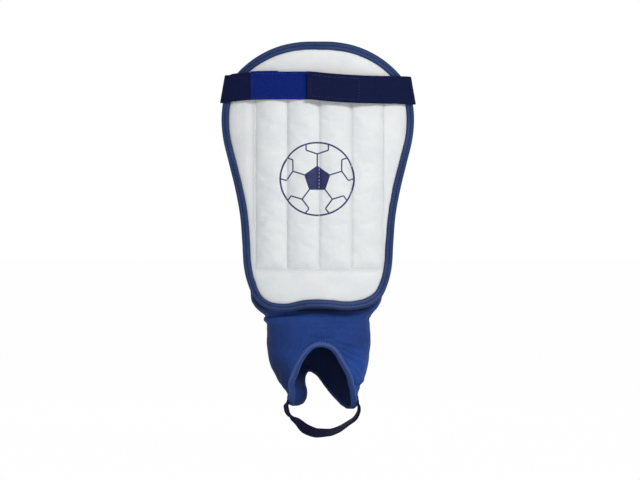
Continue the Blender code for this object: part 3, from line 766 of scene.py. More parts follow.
def cut_sheet(name, flat, top, low, margin, look, slot, node, **fields):
    """A closed sheet between two levels, cut by whole cells to a margin inside the outline."""
    across, z, inset = flat
    keep = inset > margin
    cell = keep[:-1, :-1] & keep[1:, :-1] & keep[:-1, 1:] & keep[1:, 1:]
    used = np.zeros(across.shape, bool)
    for part in (used[:-1, :-1], used[1:, :-1], used[:-1, 1:], used[1:, 1:]):
        part |= cell
    surrounded = np.zeros(across.shape, bool)
    surrounded[1:-1, 1:-1] = cell[:-1, :-1] & cell[1:, :-1] & cell[:-1, 1:] & cell[1:, 1:]
    count = int(used.sum())
    index = -np.ones(across.shape, int)
    index[used] = np.arange(count)
    # the outermost points move on to the margin, so that the edge is smooth
    line, inward, _ = closed_outline(1200)
    line = line + inward * margin
    rim = used & ~surrounded
    across, z = across.copy(), z.copy()
    points = np.stack([across[rim], z[rim]], 1)
    nearest = np.linalg.norm(points[:, None] - line[None], axis=2).argmin(1)
    across[rim], z[rim] = line[nearest].T

    i, j = np.nonzero(cell)
    quads = np.stack([index[i, j], index[i + 1, j], index[i + 1, j + 1], index[i, j + 1]], 1)
    faces = quads.tolist() + (quads[:, [0, 3, 2, 1]] + count).tolist()
    edges = {}
    for quad in quads.tolist():
        for v, after in zip(quad, quad[1:] + quad[:1]):
            if edges.pop((after, v), None) is None:
                edges[(v, after)] = True
    faces += [(after, v, v + count, after + count) for v, after in edges]
    points = np.concatenate([bend(across[used], level[used], z[used]) for level in (top, low)])
    uv = np.stack([across[used], z[used]], 1)
    ob = put_mesh(name, points, faces, look, np.concatenate([uv, uv]), slot,
                  **{key: np.tile(value[used], 2) for key, value in fields.items()})
    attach(ob, "shield")
    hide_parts(node)


def build_cover():
    """Cover, foam and lining. Returns a function giving the cover's level at flat points."""
    across, z, rise = puffed_grid()
    inset = edge_distance(across, z)
    top, groove, near = cover_levels(across, z, inset, rise)
    flat = (across, z, inset)
    # the seam grooves also go to the colour, as painted shade
    cut_sheet("quilted_cover", flat, top, top - 0.7, 2.0, "cover", "cover_white",
              "front_cover", seam=groove)
    cut_sheet("foam_pad_core", flat, np.minimum(6.3, top - 0.8), np.full(top.shape, 1.45), 2.3,
              "foam", "foam_grey", "foam_core")
    # the quilting is sewn right through, and shows in the lining too
    back = (0.55 * groove + 0.20 * near - 0.10 * (1 - near) * noise(across / 14.0, z / 20.0, 33)
            - 0.05 * noise(across / 4.0, z / 5.0, 34))
    back = np.clip(back + 0.08, 0.0, 0.8) * smooth((inset - 6.5) / 3.0)
    # the lining's seam grooves get painted shade too
    cut_sheet("brushed_back_lining", flat, np.full(top.shape, 1.35), back, 3.0, "lining",
              "lining_blue", "back_lining", seam=groove)

    def cell_and_part(lines, value, count):
        i = np.clip(np.searchsorted(lines, value) - 1, 0, count - 2)
        return i, np.clip((value - lines[i]) / (lines[i + 1] - lines[i]), 0, 1)

    def level(at_across, at_z):
        i, part = cell_and_part(across[:, 0], np.asarray(at_across, float), top.shape[0])
        j, up = cell_and_part(z[0], np.asarray(at_z, float), top.shape[1])
        return ((top[i, j] * (1 - part) + top[i + 1, j] * part) * (1 - up)
                + (top[i, j + 1] * (1 - part) + top[i + 1, j + 1] * part) * up)

    return level


def build_quilting_stitches(cover_level):
    spots = [(across, z, True) for across in SEAM_X
             for z in np.arange(BLOCK_Z[0] + 1.5, BLOCK_Z[1] - 1.0, 3.2)]
    spots += [(across, z, False) for z in BLOCK_Z
              for across in np.arange(BLOCK_X[0] + 1.6, BLOCK_X[1] - 1.0, 3.2)]
    front, back = [], []
    for across, z, upright in spots:
        out = outward(across)
        along = (0, 0, 1) if upright else (-out[1], out[0], 0)
        front.append((bend(across, float(cover_level(across, z)) + 0.02, z), along, out))
        back.append((bend(across, 0.58, z), along, -out))
    stitches("quilting_stitches", front, "thread_white", length=2.4, radius=0.24,
             slot="cover_white", rides="shield")
    stitches("lining_stitches", back, "thread_blue", length=2.4, radius=0.26,
             slot="lining_blue", rides="shield")


# ---------------------------------------------------------------- edge binding
BINDING_W = 7.6
SEWN = 4.1                  # the tape's stitch line, from the edge
SEWN_LEVELS = (8.5, -1.1)   # front and back

# the folded tape's section: distance in from the edge, level;
# its stitch line is pulled down into a groove
TAPE = np.array([
    (BINDING_W, 8.2), (7.1, 8.7), (6.4, 9.0), (5.6, 9.1), (4.9, 8.85), (4.5, 8.6),
    (SEWN, SEWN_LEVELS[0]), (3.7, 8.6), (3.2, 8.95), (2.6, 9.05), (1.8, 8.55), (0.9, 7.6),
    (0.25, 6.4), (0.0, 4.9), (0.0, 2.6), (0.3, 1.0), (1.2, -0.4), (2.2, -1.15), (3.0, -1.4),
    (3.6, -1.35), (SEWN, SEWN_LEVELS[1]), (4.6, -1.35), (5.4, -1.4), (6.6, -1.25),
    (BINDING_W, -0.9), (BINDING_W, -0.25), (4.6, -0.3), (2.4, -0.3), (1.1, 1.0), (1.1, 6.4),
    (2.4, 7.4), (4.6, 7.5), (BINDING_W, 7.6),
])


def tape_widths(edge, run):
    """The tape's relative width along the edge: uneven, and wider at the bottom's right."""
    low = np.clip((-100 - edge[:, 1]) / 15.0, 0, 1)
    right = smooth((edge[:, 0] + 30.0) / 24.0)
    wide = 1.0 + low * (0.07 * right - 0.09 * (1 - right))
    return wide * (1 + 0.035 * noise(run / 21.0, 0.3, 41) + 0.02 * noise(run / 6.0, 0.7, 42))


def build_binding(cover_level):
    edge, inward, run = TAPE_OUTLINE
    wide = tape_widths(edge, run)
    inner = edge + inward * (BINDING_W * wide)[:, None]
    lift = np.clip(cover_level(inner[:, 0], inner[:, 1]) - COVER_LEVEL, -1.2, 0.8)

    # arrays below have a row for each point of the edge and a column for each of the section
    depth, height = TAPE.T
    ripple = (0.10 * noise(run / 3.1, 0.4, 43) + 0.14 * noise(run / 9.0, 0.9, 44))[:, None]
    ripple = ripple * bell(depth - SEWN, 2.2)
    front = smooth((height - 5.5) / 2.5)
    level = (height + (ripple + lift[:, None] * smooth(depth / BINDING_W)) * front
             - 0.5 * ripple * (1 - front) * (height < 0))
    flat = edge[:, None, :] + inward[:, None, :] * (depth * wide[:, None])[..., None]
    uv = np.stack(np.broadcast_arrays(run[:, None], distance_along(TAPE)), -1)
    low = smooth((-98.0 - edge[:, 1]) / 14.0)[:, None]
    on_front = height > 8.0
    groove = bell(depth - SEWN, 1.15) * (on_front | (height < -0.9)) * (0.50 + 0.75 * low)
    # painted shade at the tape's folded outer edge and along its inner edge by the cover
    rim = (bell(depth - 0.4, 1.1) * (height > 0.0)
           + bell(depth - BINDING_W, 0.6) * (height > 5.0))
    # painted highlight on the tape's rounded crests, strongest at the lower right
    crest = on_front * (bell(depth - 2.4, 0.7) + bell(depth - 5.9, 0.8)
                        + 0.9 * bell(depth - SEWN, 0.9))
    crest = crest * (0.10 + 0.25 * noise(run / 23.0, 0.2, 45)[:, None]
                     + 0.55 * low * smooth((edge[:, :1] + 40.0) / 60.0))
    ob = sweep("edge_binding_tape", bend(flat[..., 0], level, flat[..., 1]), "binding", uv,
               "binding_blue", closed=True, sharp=70, groove=groove, crest=crest,
               inside=np.broadcast_to(0.75 * rim, level.shape))
    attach(ob, "shield")
    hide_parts("edge_binding")

    # two sewn rows: front and back of the tape
    at = (np.arange(TAPE_STITCHES) + 0.5) / TAPE_STITCHES * len(edge)
    index = at.astype(int) % len(edge)
    part = (at - at.astype(int))[:, None]
    line = edge + inward * (SEWN * wide)[:, None]
    start, end = line[index], np.roll(line, -1, 0)[index]
    across, z = (start * (1 - part) + end * part).T
    level = SEWN_LEVELS[0] + (lift * smooth(SEWN / BINDING_W))[index]
    along = bend(end[:, 0], level, end[:, 1]) - bend(start[:, 0], level, start[:, 1])
    out = outward(across)
    places = list(zip(bend(across, level, z) + out * 0.16, along, out))
    places += list(zip(bend(across, SEWN_LEVELS[1], z) - out * 0.06, along, -out))
    stitches("binding_stitches", places, "thread_tape", length=1.30, radius=0.52,
             slot="binding_blue", rides="shield", sides=5)


# ---------------------------------------------------------------- slats
SLAT_HALF_W = 11.5
SLAT_Z = (-81.0, 79.5)
SLAT_LEVEL = 6.6
SLAT_END = 14.0             # length over which the rows of points close up at each end
SLAT_ROUND = 8.0            # length over which each end narrows


def build_slats():
    """Four upright slats with crowned fronts and narrowed ends, one in each channel."""
    low, high = SLAT_Z
    share = np.linspace(-1, 1, 25)
    side = SLAT_HALF_W * share
    quarter = np.linspace(0, math.pi / 2, 12)
    z = np.concatenate([low + SLAT_END * (1 - np.cos(quarter)), np.linspace(-62, 60, 30),
                        high - SLAT_END * (1 - np.cos(quarter[::-1]))])[:, None]
    end = np.minimum(z - low, high - z)
    corner = 1 - np.minimum(end, SLAT_ROUND) / SLAT_ROUND
    wide = 1 - 0.42 * (1 - np.sqrt(np.maximum(0.0, 1 - corner ** 2)))
    crown = (0.7 + 1.5 * (1 - share ** 2) * (0.4 + 0.6 * smooth(end / SLAT_ROUND))
             + 0.12 * np.cos(share * 3 * math.pi))
    for k in range(CHANNELS):
        middle = BLOCK_X[0] + CHANNEL_W * (k + 0.5)
        front, back = (bend(middle + side * wide, SLAT_LEVEL + rise, z) for rise in (crown, 0))
        uv = np.stack(np.broadcast_arrays(middle + side, z), -1)
        ob = slab(f"protective_slat_{k + 1}", front, back, "slat", uv, "slat_plastic")
        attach(ob, "shield")
        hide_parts(f"slat_{k + 1}")


# ---------------------------------------------------------------- strap
STRAP_W, STRAP_T = 25.4, 1.4
PATCH_T, GAP = 1.1, 0.3
STRAP_LEVEL = 10.8
LOOP_LEVEL = STRAP_LEVEL + STRAP_T + GAP
HOOK_LEVEL = LOOP_LEVEL + PATCH_T + GAP
TAB_LEVEL = HOOK_LEVEL + PATCH_T + GAP
TAB_X = (-9.0, 36.0)
LOOP_X = (-59.0, 24.0)
ANCHOR_END = 24.5
CLOSING_START = 72.5        # where the closing end begins, beside the hinge
HINGE_AT = 0.04             # the hinge, as a share of the turn round the edge
CALF_X = 76.0               # where the calf part begins on each side
CALF_Z = 78.8
BACK_Y, BACK_BOW = 25.0, 13.6
STITCH_STEP = 2.7


def strap_z(across):
    """Height of the strap's centre line on the shield."""
    return spline([-90, -52, -12, 12, 40, 90], [79.4, 82.0, 82.0, 80.0, 78.4, 78.2], across)


def strap_level(across):
    knots = [0, 56, 70, 84, 92]
    return spline(knots, [STRAP_LEVEL, STRAP_LEVEL, 10.1, 9.4, 9.3], np.abs(across))


def closure_level(across):
    """Level of the closing end, which climbs over the patches."""
    knots = [36, 45, 56, 62, 71, 84, 92]
    return float(spline(knots, [TAB_LEVEL, 14.5, 11.6, 10.95, 10.1, 9.4, 9.3], across))


def on_shield(across, level, offset):
    """A point of the strap, offset up from its centre line, and the direction out of it."""
    return bend(across, level, float(strap_z(across)) + offset), outward(across)


def turn(side, offset, start, stop, steps):
    """The strap round the shield's side edge, from front to back: (point, outward)."""
    z = float(strap_z(side * 88.0)) + offset
    fold = float(88.2 - (z - 67.0) * 0.177)
    x, y = bend(fold - 6.0, strap_level(fold - 6.0), z)[:2]
    knots = np.array([(x, y), (fold - 1.6, y + 3.3), (fold, y + 7.2), (fold - 1.4, y + 11.2),
                      (fold - 6.0, BACK_Y - 0.3), (CALF_X, BACK_Y)])
    run = distance_along(knots)
    at = np.linspace(start, stop, steps) * run[-1]
    points = np.stack(splines(run, knots, at), 1)
    ahead = np.stack(splines(run, knots, at + 0.05), 1) - np.stack(
        splines(run, knots, at - 0.05), 1)
    ahead /= np.linalg.norm(ahead, axis=1)[:, None]
    return [(np.array([side * x, y, z]), np.array([side * ahead_y, -ahead_x, 0.0]))
            for (x, y), (ahead_x, ahead_y) in zip(points, ahead)]


def web_profile(rim, half, count):
    """A web's section between its edges: share of the half width, share of the thickness."""
    return (rim + [(share, 1.0) for share in np.linspace(-half, half, count)]
            + [(-share, full) for share, full in reversed(rim)])


WEB = web_profile([(-1.0, 0.30), (-0.985, 0.72), (-0.955, 0.95), (-0.92, 1.0)], 0.88, 37)


def web(name, path, width=STRAP_W, thickness=STRAP_T, look="elastic", slot="elastic_navy",
        lift=lambda share, side, run: 0.0, upper=lambda run: 0.0, rib=0.07, edge_wave=0.12,
        seed=1):
    """A woven strip. path(offset) lists (point, outward) along it, offset from its centre line.

    lift raises its surface and upper its top edge; rib is the depth of its 10 cords each side."""
    lines = [path(side * width / 2) for side, _ in WEB]
    run = distance_along([point for point, _ in path(0.0)])
    half = thickness / 2
    sections, uv = [], []
    for i, distance in enumerate(run):
        outer, inner = [], []
        for (side, full), line in zip(WEB, lines):
            point, out = line[i]
            cord = rib * math.cos(side * math.pi * 2 * 10) * (abs(side) < 0.93)
            wave = float(noise(distance / 11.0, 3.1 if side > 0 else 7.7, seed))
            rise = edge_wave * wave * abs(side) ** 3 + upper(distance) * max(0.0, side) ** 2
            middle = (point + np.array([0, 0, rise])
                      + out * (lift(i / (len(run) - 1), side, distance) + half))
            outer.append(middle + out * (half * full + cord))
            inner.append(middle - out * (half * full + cord * 0.6))
        sections.append(outer + inner[::-1])
        row = [(distance, side * width / 2) for side, _ in WEB]
        uv.append(row + row[::-1])
    return sweep(name, sections, look, uv, slot, sharp=75)


def sewn_box(level, edges, across_row, ends, offset_row):
    """Stitches in rows along the strap at the edges' offsets, and across it at its ends."""
    rows = [[on_shield(across, level, offset) for across in across_row] for offset in edges]
    rows += [[on_shield(across, level, offset) for offset in offset_row] for across in ends]
    return [((point + after) / 2 + out * (STRAP_T + 0.06), after - point, out)
            for row in rows for (point, out), (after, _) in zip(row[:-1], row[1:])]


def build_anchor():
    """The strap's fixed end: from under the loop patch round the left edge."""
    def path(offset):
        front = [on_shield(across, float(strap_level(across)), offset)
                 for across in np.linspace(ANCHOR_END, -76, 52)]
        return front + turn(-1, offset, HINGE_AT, 1.0, 30)

    ob = web("strap_anchor_web", path, seed=51)
    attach(ob, "shield")
    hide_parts("strap_anchor_section")


def build_edge_turn():
    """Round the right edge up to the closing end."""
    def path(offset):
        front = [on_shield(across, closure_level(across), offset)
                 for across in np.linspace(CLOSING_START, 80.0, 6)]
        return front + turn(1, offset, 0.0, 1.0, 34)[1:]

    ob = web("strap_edge_web", path, seed=52)
    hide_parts("strap_edge_turn")
    ends = []
    for offset in (-STRAP_W / 2, STRAP_W / 2):
        point, out = turn(1, offset, HINGE_AT - 0.006, 1.0, 2)[0]
        ends.append(point + out * STRAP_T)
    hinge = (ends[0] + ends[1]) / 2
    metres(hinge + (4.0, 3.6, 0))
    metres(hinge + (-4.8, -4.2, 0))
    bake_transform(ob)


def build_closing_end():
    """From beside the hinge, over the patches, to the tab's tip."""
    def path(offset):
        points = [on_shield(across, closure_level(across), offset)
                  for across in np.linspace(CLOSING_START, 36.5, 26)]
        return points + [on_shield(across, TAB_LEVEL, offset)
                         for across in np.linspace(35.0, TAB_X[0], 34)]

    def tip(share, side, run):
        """The tip curls outwards, most at its upper corner."""
        end = max(0.0, (share - 0.90) / 0.10)
        corner = end ** 2 * (0.4 + 1.3 * max(0.0, side) ** 3)
        return corner + 0.10 * float(noise(run / 13.0, side * 0.8, 53)) * (1 - 0.5 * end)

    ob = web("strap_closing_web", path, lift=tip, seed=53)
    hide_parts("strap_closure_section", "strap_tab")
    metres(bend(CLOSING_START, closure_level(CLOSING_START), 78.2))
    metres(bend(37.0, TAB_LEVEL, 78.4))
    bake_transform(ob)
    places = sewn_box(TAB_LEVEL, (-9.6, 9.6), np.arange(-5.6, 35.0, STITCH_STEP),
                      (-6.0, 35.2), np.arange(-9.8, 9.9, STITCH_STEP))
    stitches("tab_box_stitching", places, "thread_navy", length=2.0, radius=0.20,
             slot="elastic_navy", rides="tab")


def build_loop_patch():
    """The loop patch, sewn on the front."""
    def path(offset):
        return [on_shield(across, LOOP_LEVEL, offset)
                for across in np.linspace(LOOP_X[1], LOOP_X[0], 72)]

    def pile(share, side, run):
        edge = smooth((1 - abs(side)) / 0.06) * smooth(min(share, 1 - share) / 0.025)
        curls = (0.10 * float(noise(run / 1.1, side * 11.0, 61))
                 + 0.10 * float(noise(run / 2.6, side * 5.0, 62)))
        return -0.25 * (1 - edge) + edge * curls

    ob = web("loop_pile_patch", path, STRAP_W - 0.6, PATCH_T, "loop", "loop_royal", lift=pile,
             upper=lambda run: float(smooth((run - 60.5) / 1.4)), rib=0.0, edge_wave=0.22,
             seed=63)
    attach(ob, "shield")
    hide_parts("loop_patch")
    places = sewn_box(LOOP_LEVEL + PATCH_T - STRAP_T, (-10.9, 10.9),
                      np.arange(LOOP_X[0] + 2.0, LOOP_X[1] - 1.0, STITCH_STEP),
                      (LOOP_X[0] + 1.7,), np.arange(-10.8, 10.9, STITCH_STEP))
    stitches("loop_patch_stitching", places, "thread_navy", length=2.0, radius=0.22,
             slot="loop_royal", rides="shield")


def build_hook_patch():
    """The hook patch under the tab, and its rows of hooks pointing at the loop patch."""
    hook_length, pitch = 0.45, 1.7

    def path(offset):
        return [on_shield(across, HOOK_LEVEL + hook_length, offset)
                for across in np.linspace(TAB_X[1] - 1.0, TAB_X[0] + 1.5, 26)]

    ob = web("hook_patch_base", path, STRAP_W - 2.0, PATCH_T - hook_length, "hook", "hook_navy",
             rib=0.0, edge_wave=0.05, seed=64)
    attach(ob, "tab")
    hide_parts("hook_patch")

    # a hook's square sections: depth below its root, half width, shift along the strap
    hook = [(0.0, 0.34, 0.0), (0.28, 0.24, 0.05), (0.48, 0.20, 0.30)]
    points, faces, uv = [], [], []
    for across in np.arange(TAB_X[0] + 3.0, TAB_X[1] - 2.0, pitch):
        for offset in np.arange(-10.2, 10.3, pitch):
            root, out = on_shield(across, HOOK_LEVEL + 0.5, offset)
            along = np.array([-out[1], out[0], 0.0])
            base = len(points)
            for depth, half, shift in hook:
                for i, j in ((-1, -1), (1, -1), (1, 1), (-1, 1)):
                    points.append(root - out * depth + along * (i * half + shift)
                                  + np.array([0, 0, j * half]))
                    uv.append((across + i * half, offset + j * half))
            faces += [[base + v for v in face] for face in tube_faces(len(hook), 4, False)[:8]]
            faces += [(base, base + 3, base + 2, base + 1),
                      (base + 8, base + 9, base + 10, base + 11)]
    ob = put_mesh("hook_patch_hooks", points, faces, "hook", uv, "hook_navy", sharp=40)
    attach(ob, "tab")


def build_calf_band():
    """Behind the calf: two halves, each stretching out from its own side."""
    for word, side, start, stop in (("right", 1, CALF_X, 0.0), ("left", -1, 0.0, -CALF_X)):
        def path(offset):
            places = []
            for x in np.linspace(start, stop, 44):
                angle = math.pi * x / CALF_X
                y = BACK_Y + BACK_BOW * (0.5 + 0.5 * math.cos(angle))
                slope = -BACK_BOW * 0.5 * math.pi / CALF_X * math.sin(angle)
                out = np.array([-slope, 1.0, 0.0]) / math.hypot(slope, 1.0)
                places.append((np.array([x, y, CALF_Z + offset]), out))
            return places

        ob = web(f"strap_calf_web_{word}", path, seed=55)
        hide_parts("strap_calf_section")
        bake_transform(ob)


# ---------------------------------------------------------------- ankle sleeve
SLEEVE_T = 2.0

# the plain sleeve's sections: z, half width, depth to the front, depth to the back, centre x, y
SLEEVE = np.array([
    (-214, 28.5, 14.0, 15.0, 4.8, 28.0), (-206, 30.5, 15.0, 16.0, 4.6, 28.0),
    (-198, 32.5, 17.0, 18.0, 4.3, 28.0), (-190, 37.2, 19.5, 20.0, 2.7, 28.0),
    (-182, 41.0, 21.5, 22.0, 2.1, 28.0), (-174, 44.0, 23.0, 23.0, 1.1, 28.0),
    (-166, 45.8, 24.0, 24.0, 0.7, 27.5), (-150, 47.0, 25.0, 25.0, 0.8, 27.0),
    (-137, 46.7, 23.6, 26.6, 0.3, 25.9), (-134.5, 46.9, 23.1, 26.9, -0.1, 25.6),
    (-132.5, 47.6, 22.3, 27.6, -0.95, 24.9), (-130.4, 48.0, 21.3, 28.4, -0.9, 24.1),
    (-128.3, 48.0, 20.2, 29.2, 0.0, 23.4), (-126, 49.6, 19.0, 30.0, -0.3, 22.5),
    (-124, 51.8, 18.0, 30.6, -0.8, 21.6), (-121, 54.9, 16.5, 31.3, -1.1, 20.2),
    (-118, 57.0, 15.0, 32.0, -1.15, 19.0), (-113, 59.2, 14.6, 32.0, -1.35, 18.6),
    (-98, 60.6, 14.0, 32.0, -0.8, 18.0),
])
# the sleeve's lower edge: angle, z
LOWER = np.array([
    (-180, -188.4), (-174, -183), (-166, -180), (-160, -184), (-154, -196), (-148, -205),
    (-137, -209.5), (-120, -211), (-105, -211), (-90, -210), (-76, -207), (-62, -201),
    (-45, -191), (-30.5, -181), (-18, -168.5), (-11, -161.5), (-5, -157.5), (2, -156),
    (9, -157), (15.5, -160), (21, -165), (26.5, -171.5), (36, -181), (47, -191), (60, -200),
    (73, -207), (86, -211.5), (100, -213.5), (123, -213.7), (141, -211), (155, -206),
    (170.7, -197.5), (180, -188.4),
])
# folds of the knit: points (x, z) along the fold, half width, height
FRONT_FOLDS = [
    # fine wrinkles across, under the shield's edge
    ([(-15.6, -132.8), (5.2, -134.2), (21.2, -132.0)], 1.0, 0.42),
    ([(-9, -137), (7, -138), (24, -136)], 1.0, 0.40),
    ([(-1, -142), (13, -142.8), (27.6, -140)], 1.0, 0.34),
    ([(-38, -129), (-22, -128.2), (-6, -129.4)], 1.1, 0.42),
    ([(15, -129.4), (34, -127.8), (43.6, -128.6)], 1.1, 0.5),
    ([(-34, -133), (-24, -132.4), (-16, -133)], 1.0, 0.3),
    ([(20, -133), (36, -132), (44, -133)], 1.1, 0.4),
    ([(-2, -130.4), (8, -130.2), (18, -130.8)], 0.9, 0.3),
    # drawn out from the right of the instep opening
    ([(14.8, -143.4), (27.6, -144.4), (42, -142.6)], 1.5, 0.45),
    ([(16.4, -149.6), (27.6, -152.4), (41, -154)], 1.6, 0.75),
    ([(17, -152.2), (28, -156.0), (42, -158.6)], 1.3, -0.55),
    ([(19.6, -154.6), (30.8, -160), (42.5, -164)], 1.6, 0.90),
    ([(21, -157.4), (31, -163), (41, -167.4)], 1.2, -0.55),
    ([(22.8, -160.4), (32.4, -166), (40.0, -169.4), (43, -174)], 1.5, 1.0),
    ([(25, -165.0), (33, -170.2), (39, -175.5), (41, -181)], 1.3, -0.6),
    ([(27.6, -170.4), (35.6, -176.0), (39.6, -184.5)], 1.6, 0.95),
    ([(30, -176.8), (34.6, -183.2), (36, -191.2)], 1.5, 0.7),
    # beside the opening on its left
    ([(-28.6, -174), (-27.4, -183), (-28.6, -194)], 1.6, -0.95),
    ([(-33.0, -175), (-32.0, -186), (-30.6, -197)], 1.9, 0.9),
    ([(-26.8, -170), (-23.0, -163), (-17.4, -155)], 1.6, -0.55),
    ([(-31, -169), (-27, -160), (-21, -152)], 2.4, 0.5),
    ([(-42, -141), (-36, -155), (-36, -168)], 4.5, 0.7),
    ([(-38.5, -172), (-38, -182)], 2.4, -0.5),
    # gathers at the corners of the shield, and kinks in the side flaps' outlines
    ([(-43.5, -130.9), (-50.5, -132.0)], 2.1, 0.55),
    ([(-42, -135.4), (-49.0, -136.8)], 1.7, -0.4),
    ([(-42, -126.8), (-51, -128.0)], 1.4, -0.6),
    ([(42, -134.5), (48, -135.5)], 2.4, 0.5), ([(43, -130.0), (48.5, -130.6)], 1.7, -0.9),
    ([(34.5, -186.2), (43, -187.6)], 1.7, 1.2), ([(34, -191.2), (42, -192.4)], 1.5, -1.5),
    ([(-36, -190), (-31, -193)], 1.6, -0.5),
    # round the top of the opening
    ([(-7, -147.0), (3, -149.0), (12, -147.6)], 1.5, -0.5),
    ([(-10, -143.6), (2, -145.6), (13, -144.4)], 1.8, 0.45),
]
BACK_FOLDS = [
    ([(-40, -118), (-10, -124), (25, -121)], 3.6, 1.3),
    ([(-30, -134), (0, -139), (35, -133)], 3.4, 1.4),
    ([(-42, -148), (-15, -152), (10, -150)], 3.0, 1.1),
    ([(5, -160), (28, -158), (42, -152)], 3.0, 1.1),
    ([(-36, -170), (-22, -176), (-12, -184)], 2.4, 0.9),
    ([(36, -172), (24, -184), (20, -198)], 2.4, 0.9),
    ([(-28, -188), (-24, -202)], 2.0, 0.7), ([(0, -108), (6, -120)], 4.0, -0.9),
    ([(-44, -132), (-30, -138)], 2.2, -0.8),
    ([(-34, -142), (-8, -145), (20, -142)], 2.2, -0.7),
    ([(-20, -128), (8, -131), (30, -127)], 2.2, -0.7),
    ([(12, -168), (20, -178), (24, -190)], 1.8, -0.6),
    ([(40, -142), (46, -152), (45, -164)], 2.4, 0.8),
    ([(-45, -150), (-46, -162)], 2.2, 0.7),
]


def wrapped(angle):
    """The same angle between -180 and 180."""
    return (np.asarray(angle, float) + 180) % 360 - 180


def plain_sleeve(angle, z, depth):
    """Points of the sleeve without folds, at a depth below its outer face."""
    angle, z, depth = np.broadcast_arrays(*(np.asarray(v, float) for v in (angle, z, depth)))
    half, front, back, middle_x, middle_y = splines(SLEEVE[:, 0], SLEEVE[:, 1:], z)
    turned = np.radians(angle)
    reach = np.where(np.cos(turned) > 0, front, back)
    x = middle_x + (half - depth) * np.sin(turned)
    y = middle_y - (reach - depth) * np.cos(turned)
    # the yoke lies flat behind the shield's bottom edge
    curve = np.sqrt(1 - (np.clip(x, -90, 90) / OUTLINE_R) ** 2)
    flat = AXIS_Y - (BEND_R - 1.7 - depth) * curve
    share = smooth((z + 129.0) / 9.0) * (1 - smooth((np.abs(wrapped(angle)) - 66.0) / 26.0))
    return np.stack([x, y + (flat - y) * share, z], -1)


def folds(x, z, table):
    """How far the folds raise the knit."""
    height = np.zeros(np.shape(x))
    for points, half, fold_height in table:
        points = np.asarray(points, float)
        best, where = np.full(np.shape(x), 1e9), np.zeros(np.shape(x))
        total = len(points) - 1
        for k in range(total):
            (start_x, start_z), (step_x, step_z) = points[k], points[k + 1] - points[k]
            t = np.clip(((x - start_x) * step_x + (z - start_z) * step_z)
                        / (step_x ** 2 + step_z ** 2), 0, 1)
            distance = np.hypot(x - start_x - step_x * t, z - start_z - step_z * t)
            where = np.where(distance < best, (k + t) / total, where)
            best = np.minimum(best, distance)
        fade = np.sin(math.pi * (0.12 + 0.76 * where)) ** 0.7
        height = height + fold_height * fade * bell(best, half)
    return height


def sleeve_face(angle, z, depth):
    """Points of the finished sleeve at a depth below its outer face, and their outward normals."""
    step = 0.6
    angle = np.asarray(angle, float)
    z = np.asarray(z, float)
    points = plain_sleeve(angle, z, depth)
    around = plain_sleeve(angle + step, z, depth) - plain_sleeve(angle - step, z, depth)
    up = plain_sleeve(angle, z + step, depth) - plain_sleeve(angle, z - step, depth)
    normal = np.cross(around, up)
    normal /= np.linalg.norm(normal, axis=-1)[..., None]
    ring = np.abs(wrapped(angle))
    front = smooth((100 - ring) / 20)
    x, z = points[..., 0], points[..., 2]
    rise = 1.45 * front * folds(x, z, FRONT_FOLDS) + 0.7 * (1 - front) * folds(x, z, BACK_FOLDS)
    rise = rise + 0.30 * noise(angle / 13.0, z / 9.0, 71) + 0.10 * noise(angle / 4.0, z / 4.5, 72)
    # the knit swells out just below the shield's edge, with a crease above it
    puff = np.where(z > -130.0, bell(z + 130.0, 3.6), bell(z + 130.0, 16.0))
    rise = rise + ((1 - smooth((ring - 48.0) / 34.0))
                   * (3.9 * puff - 2.0 * bell(z + 123.6, 1.6)))
    # fine gathers where the knit is sewn to its lower hems
    gather = bell(z - lower_edge(angle) - 6.0, 5.0)
    rise = rise + gather * 0.16 * noise(angle / 2.6, z / 14.0, 73)
    rise = rise * (1 - 0.92 * smooth((z + 125.8) / 3.8) * front)
    turned = np.radians(angle)
    facing = normal[..., 0] * np.sin(turned) - normal[..., 1] * np.cos(turned)
    normal = normal * np.where(facing > 0, 1.0, -1.0)[..., None]
    return points + normal * rise[..., None], normal


def lower_edge(angle):
    return spline(LOWER[:, 0], LOWER[:, 1], wrapped(angle))


def above_lower_edge(angle, distance):
    """The angle and height of the point this far in from the lower edge, square to it."""
    degree = 0.82       # length of one degree round the sleeve
    slope = (lower_edge(angle + 0.5) - lower_edge(angle - 0.5)) / degree
    length = np.hypot(1.0, slope)
    return angle - slope / length * distance / degree, lower_edge(angle) + distance / length


def top_edge(angle):
    return (-99.5 + 1.2 * np.cos(np.radians(np.abs(wrapped(angle))))
            + 0.5 * noise(np.asarray(angle) / 17.0, 0.4, 74))


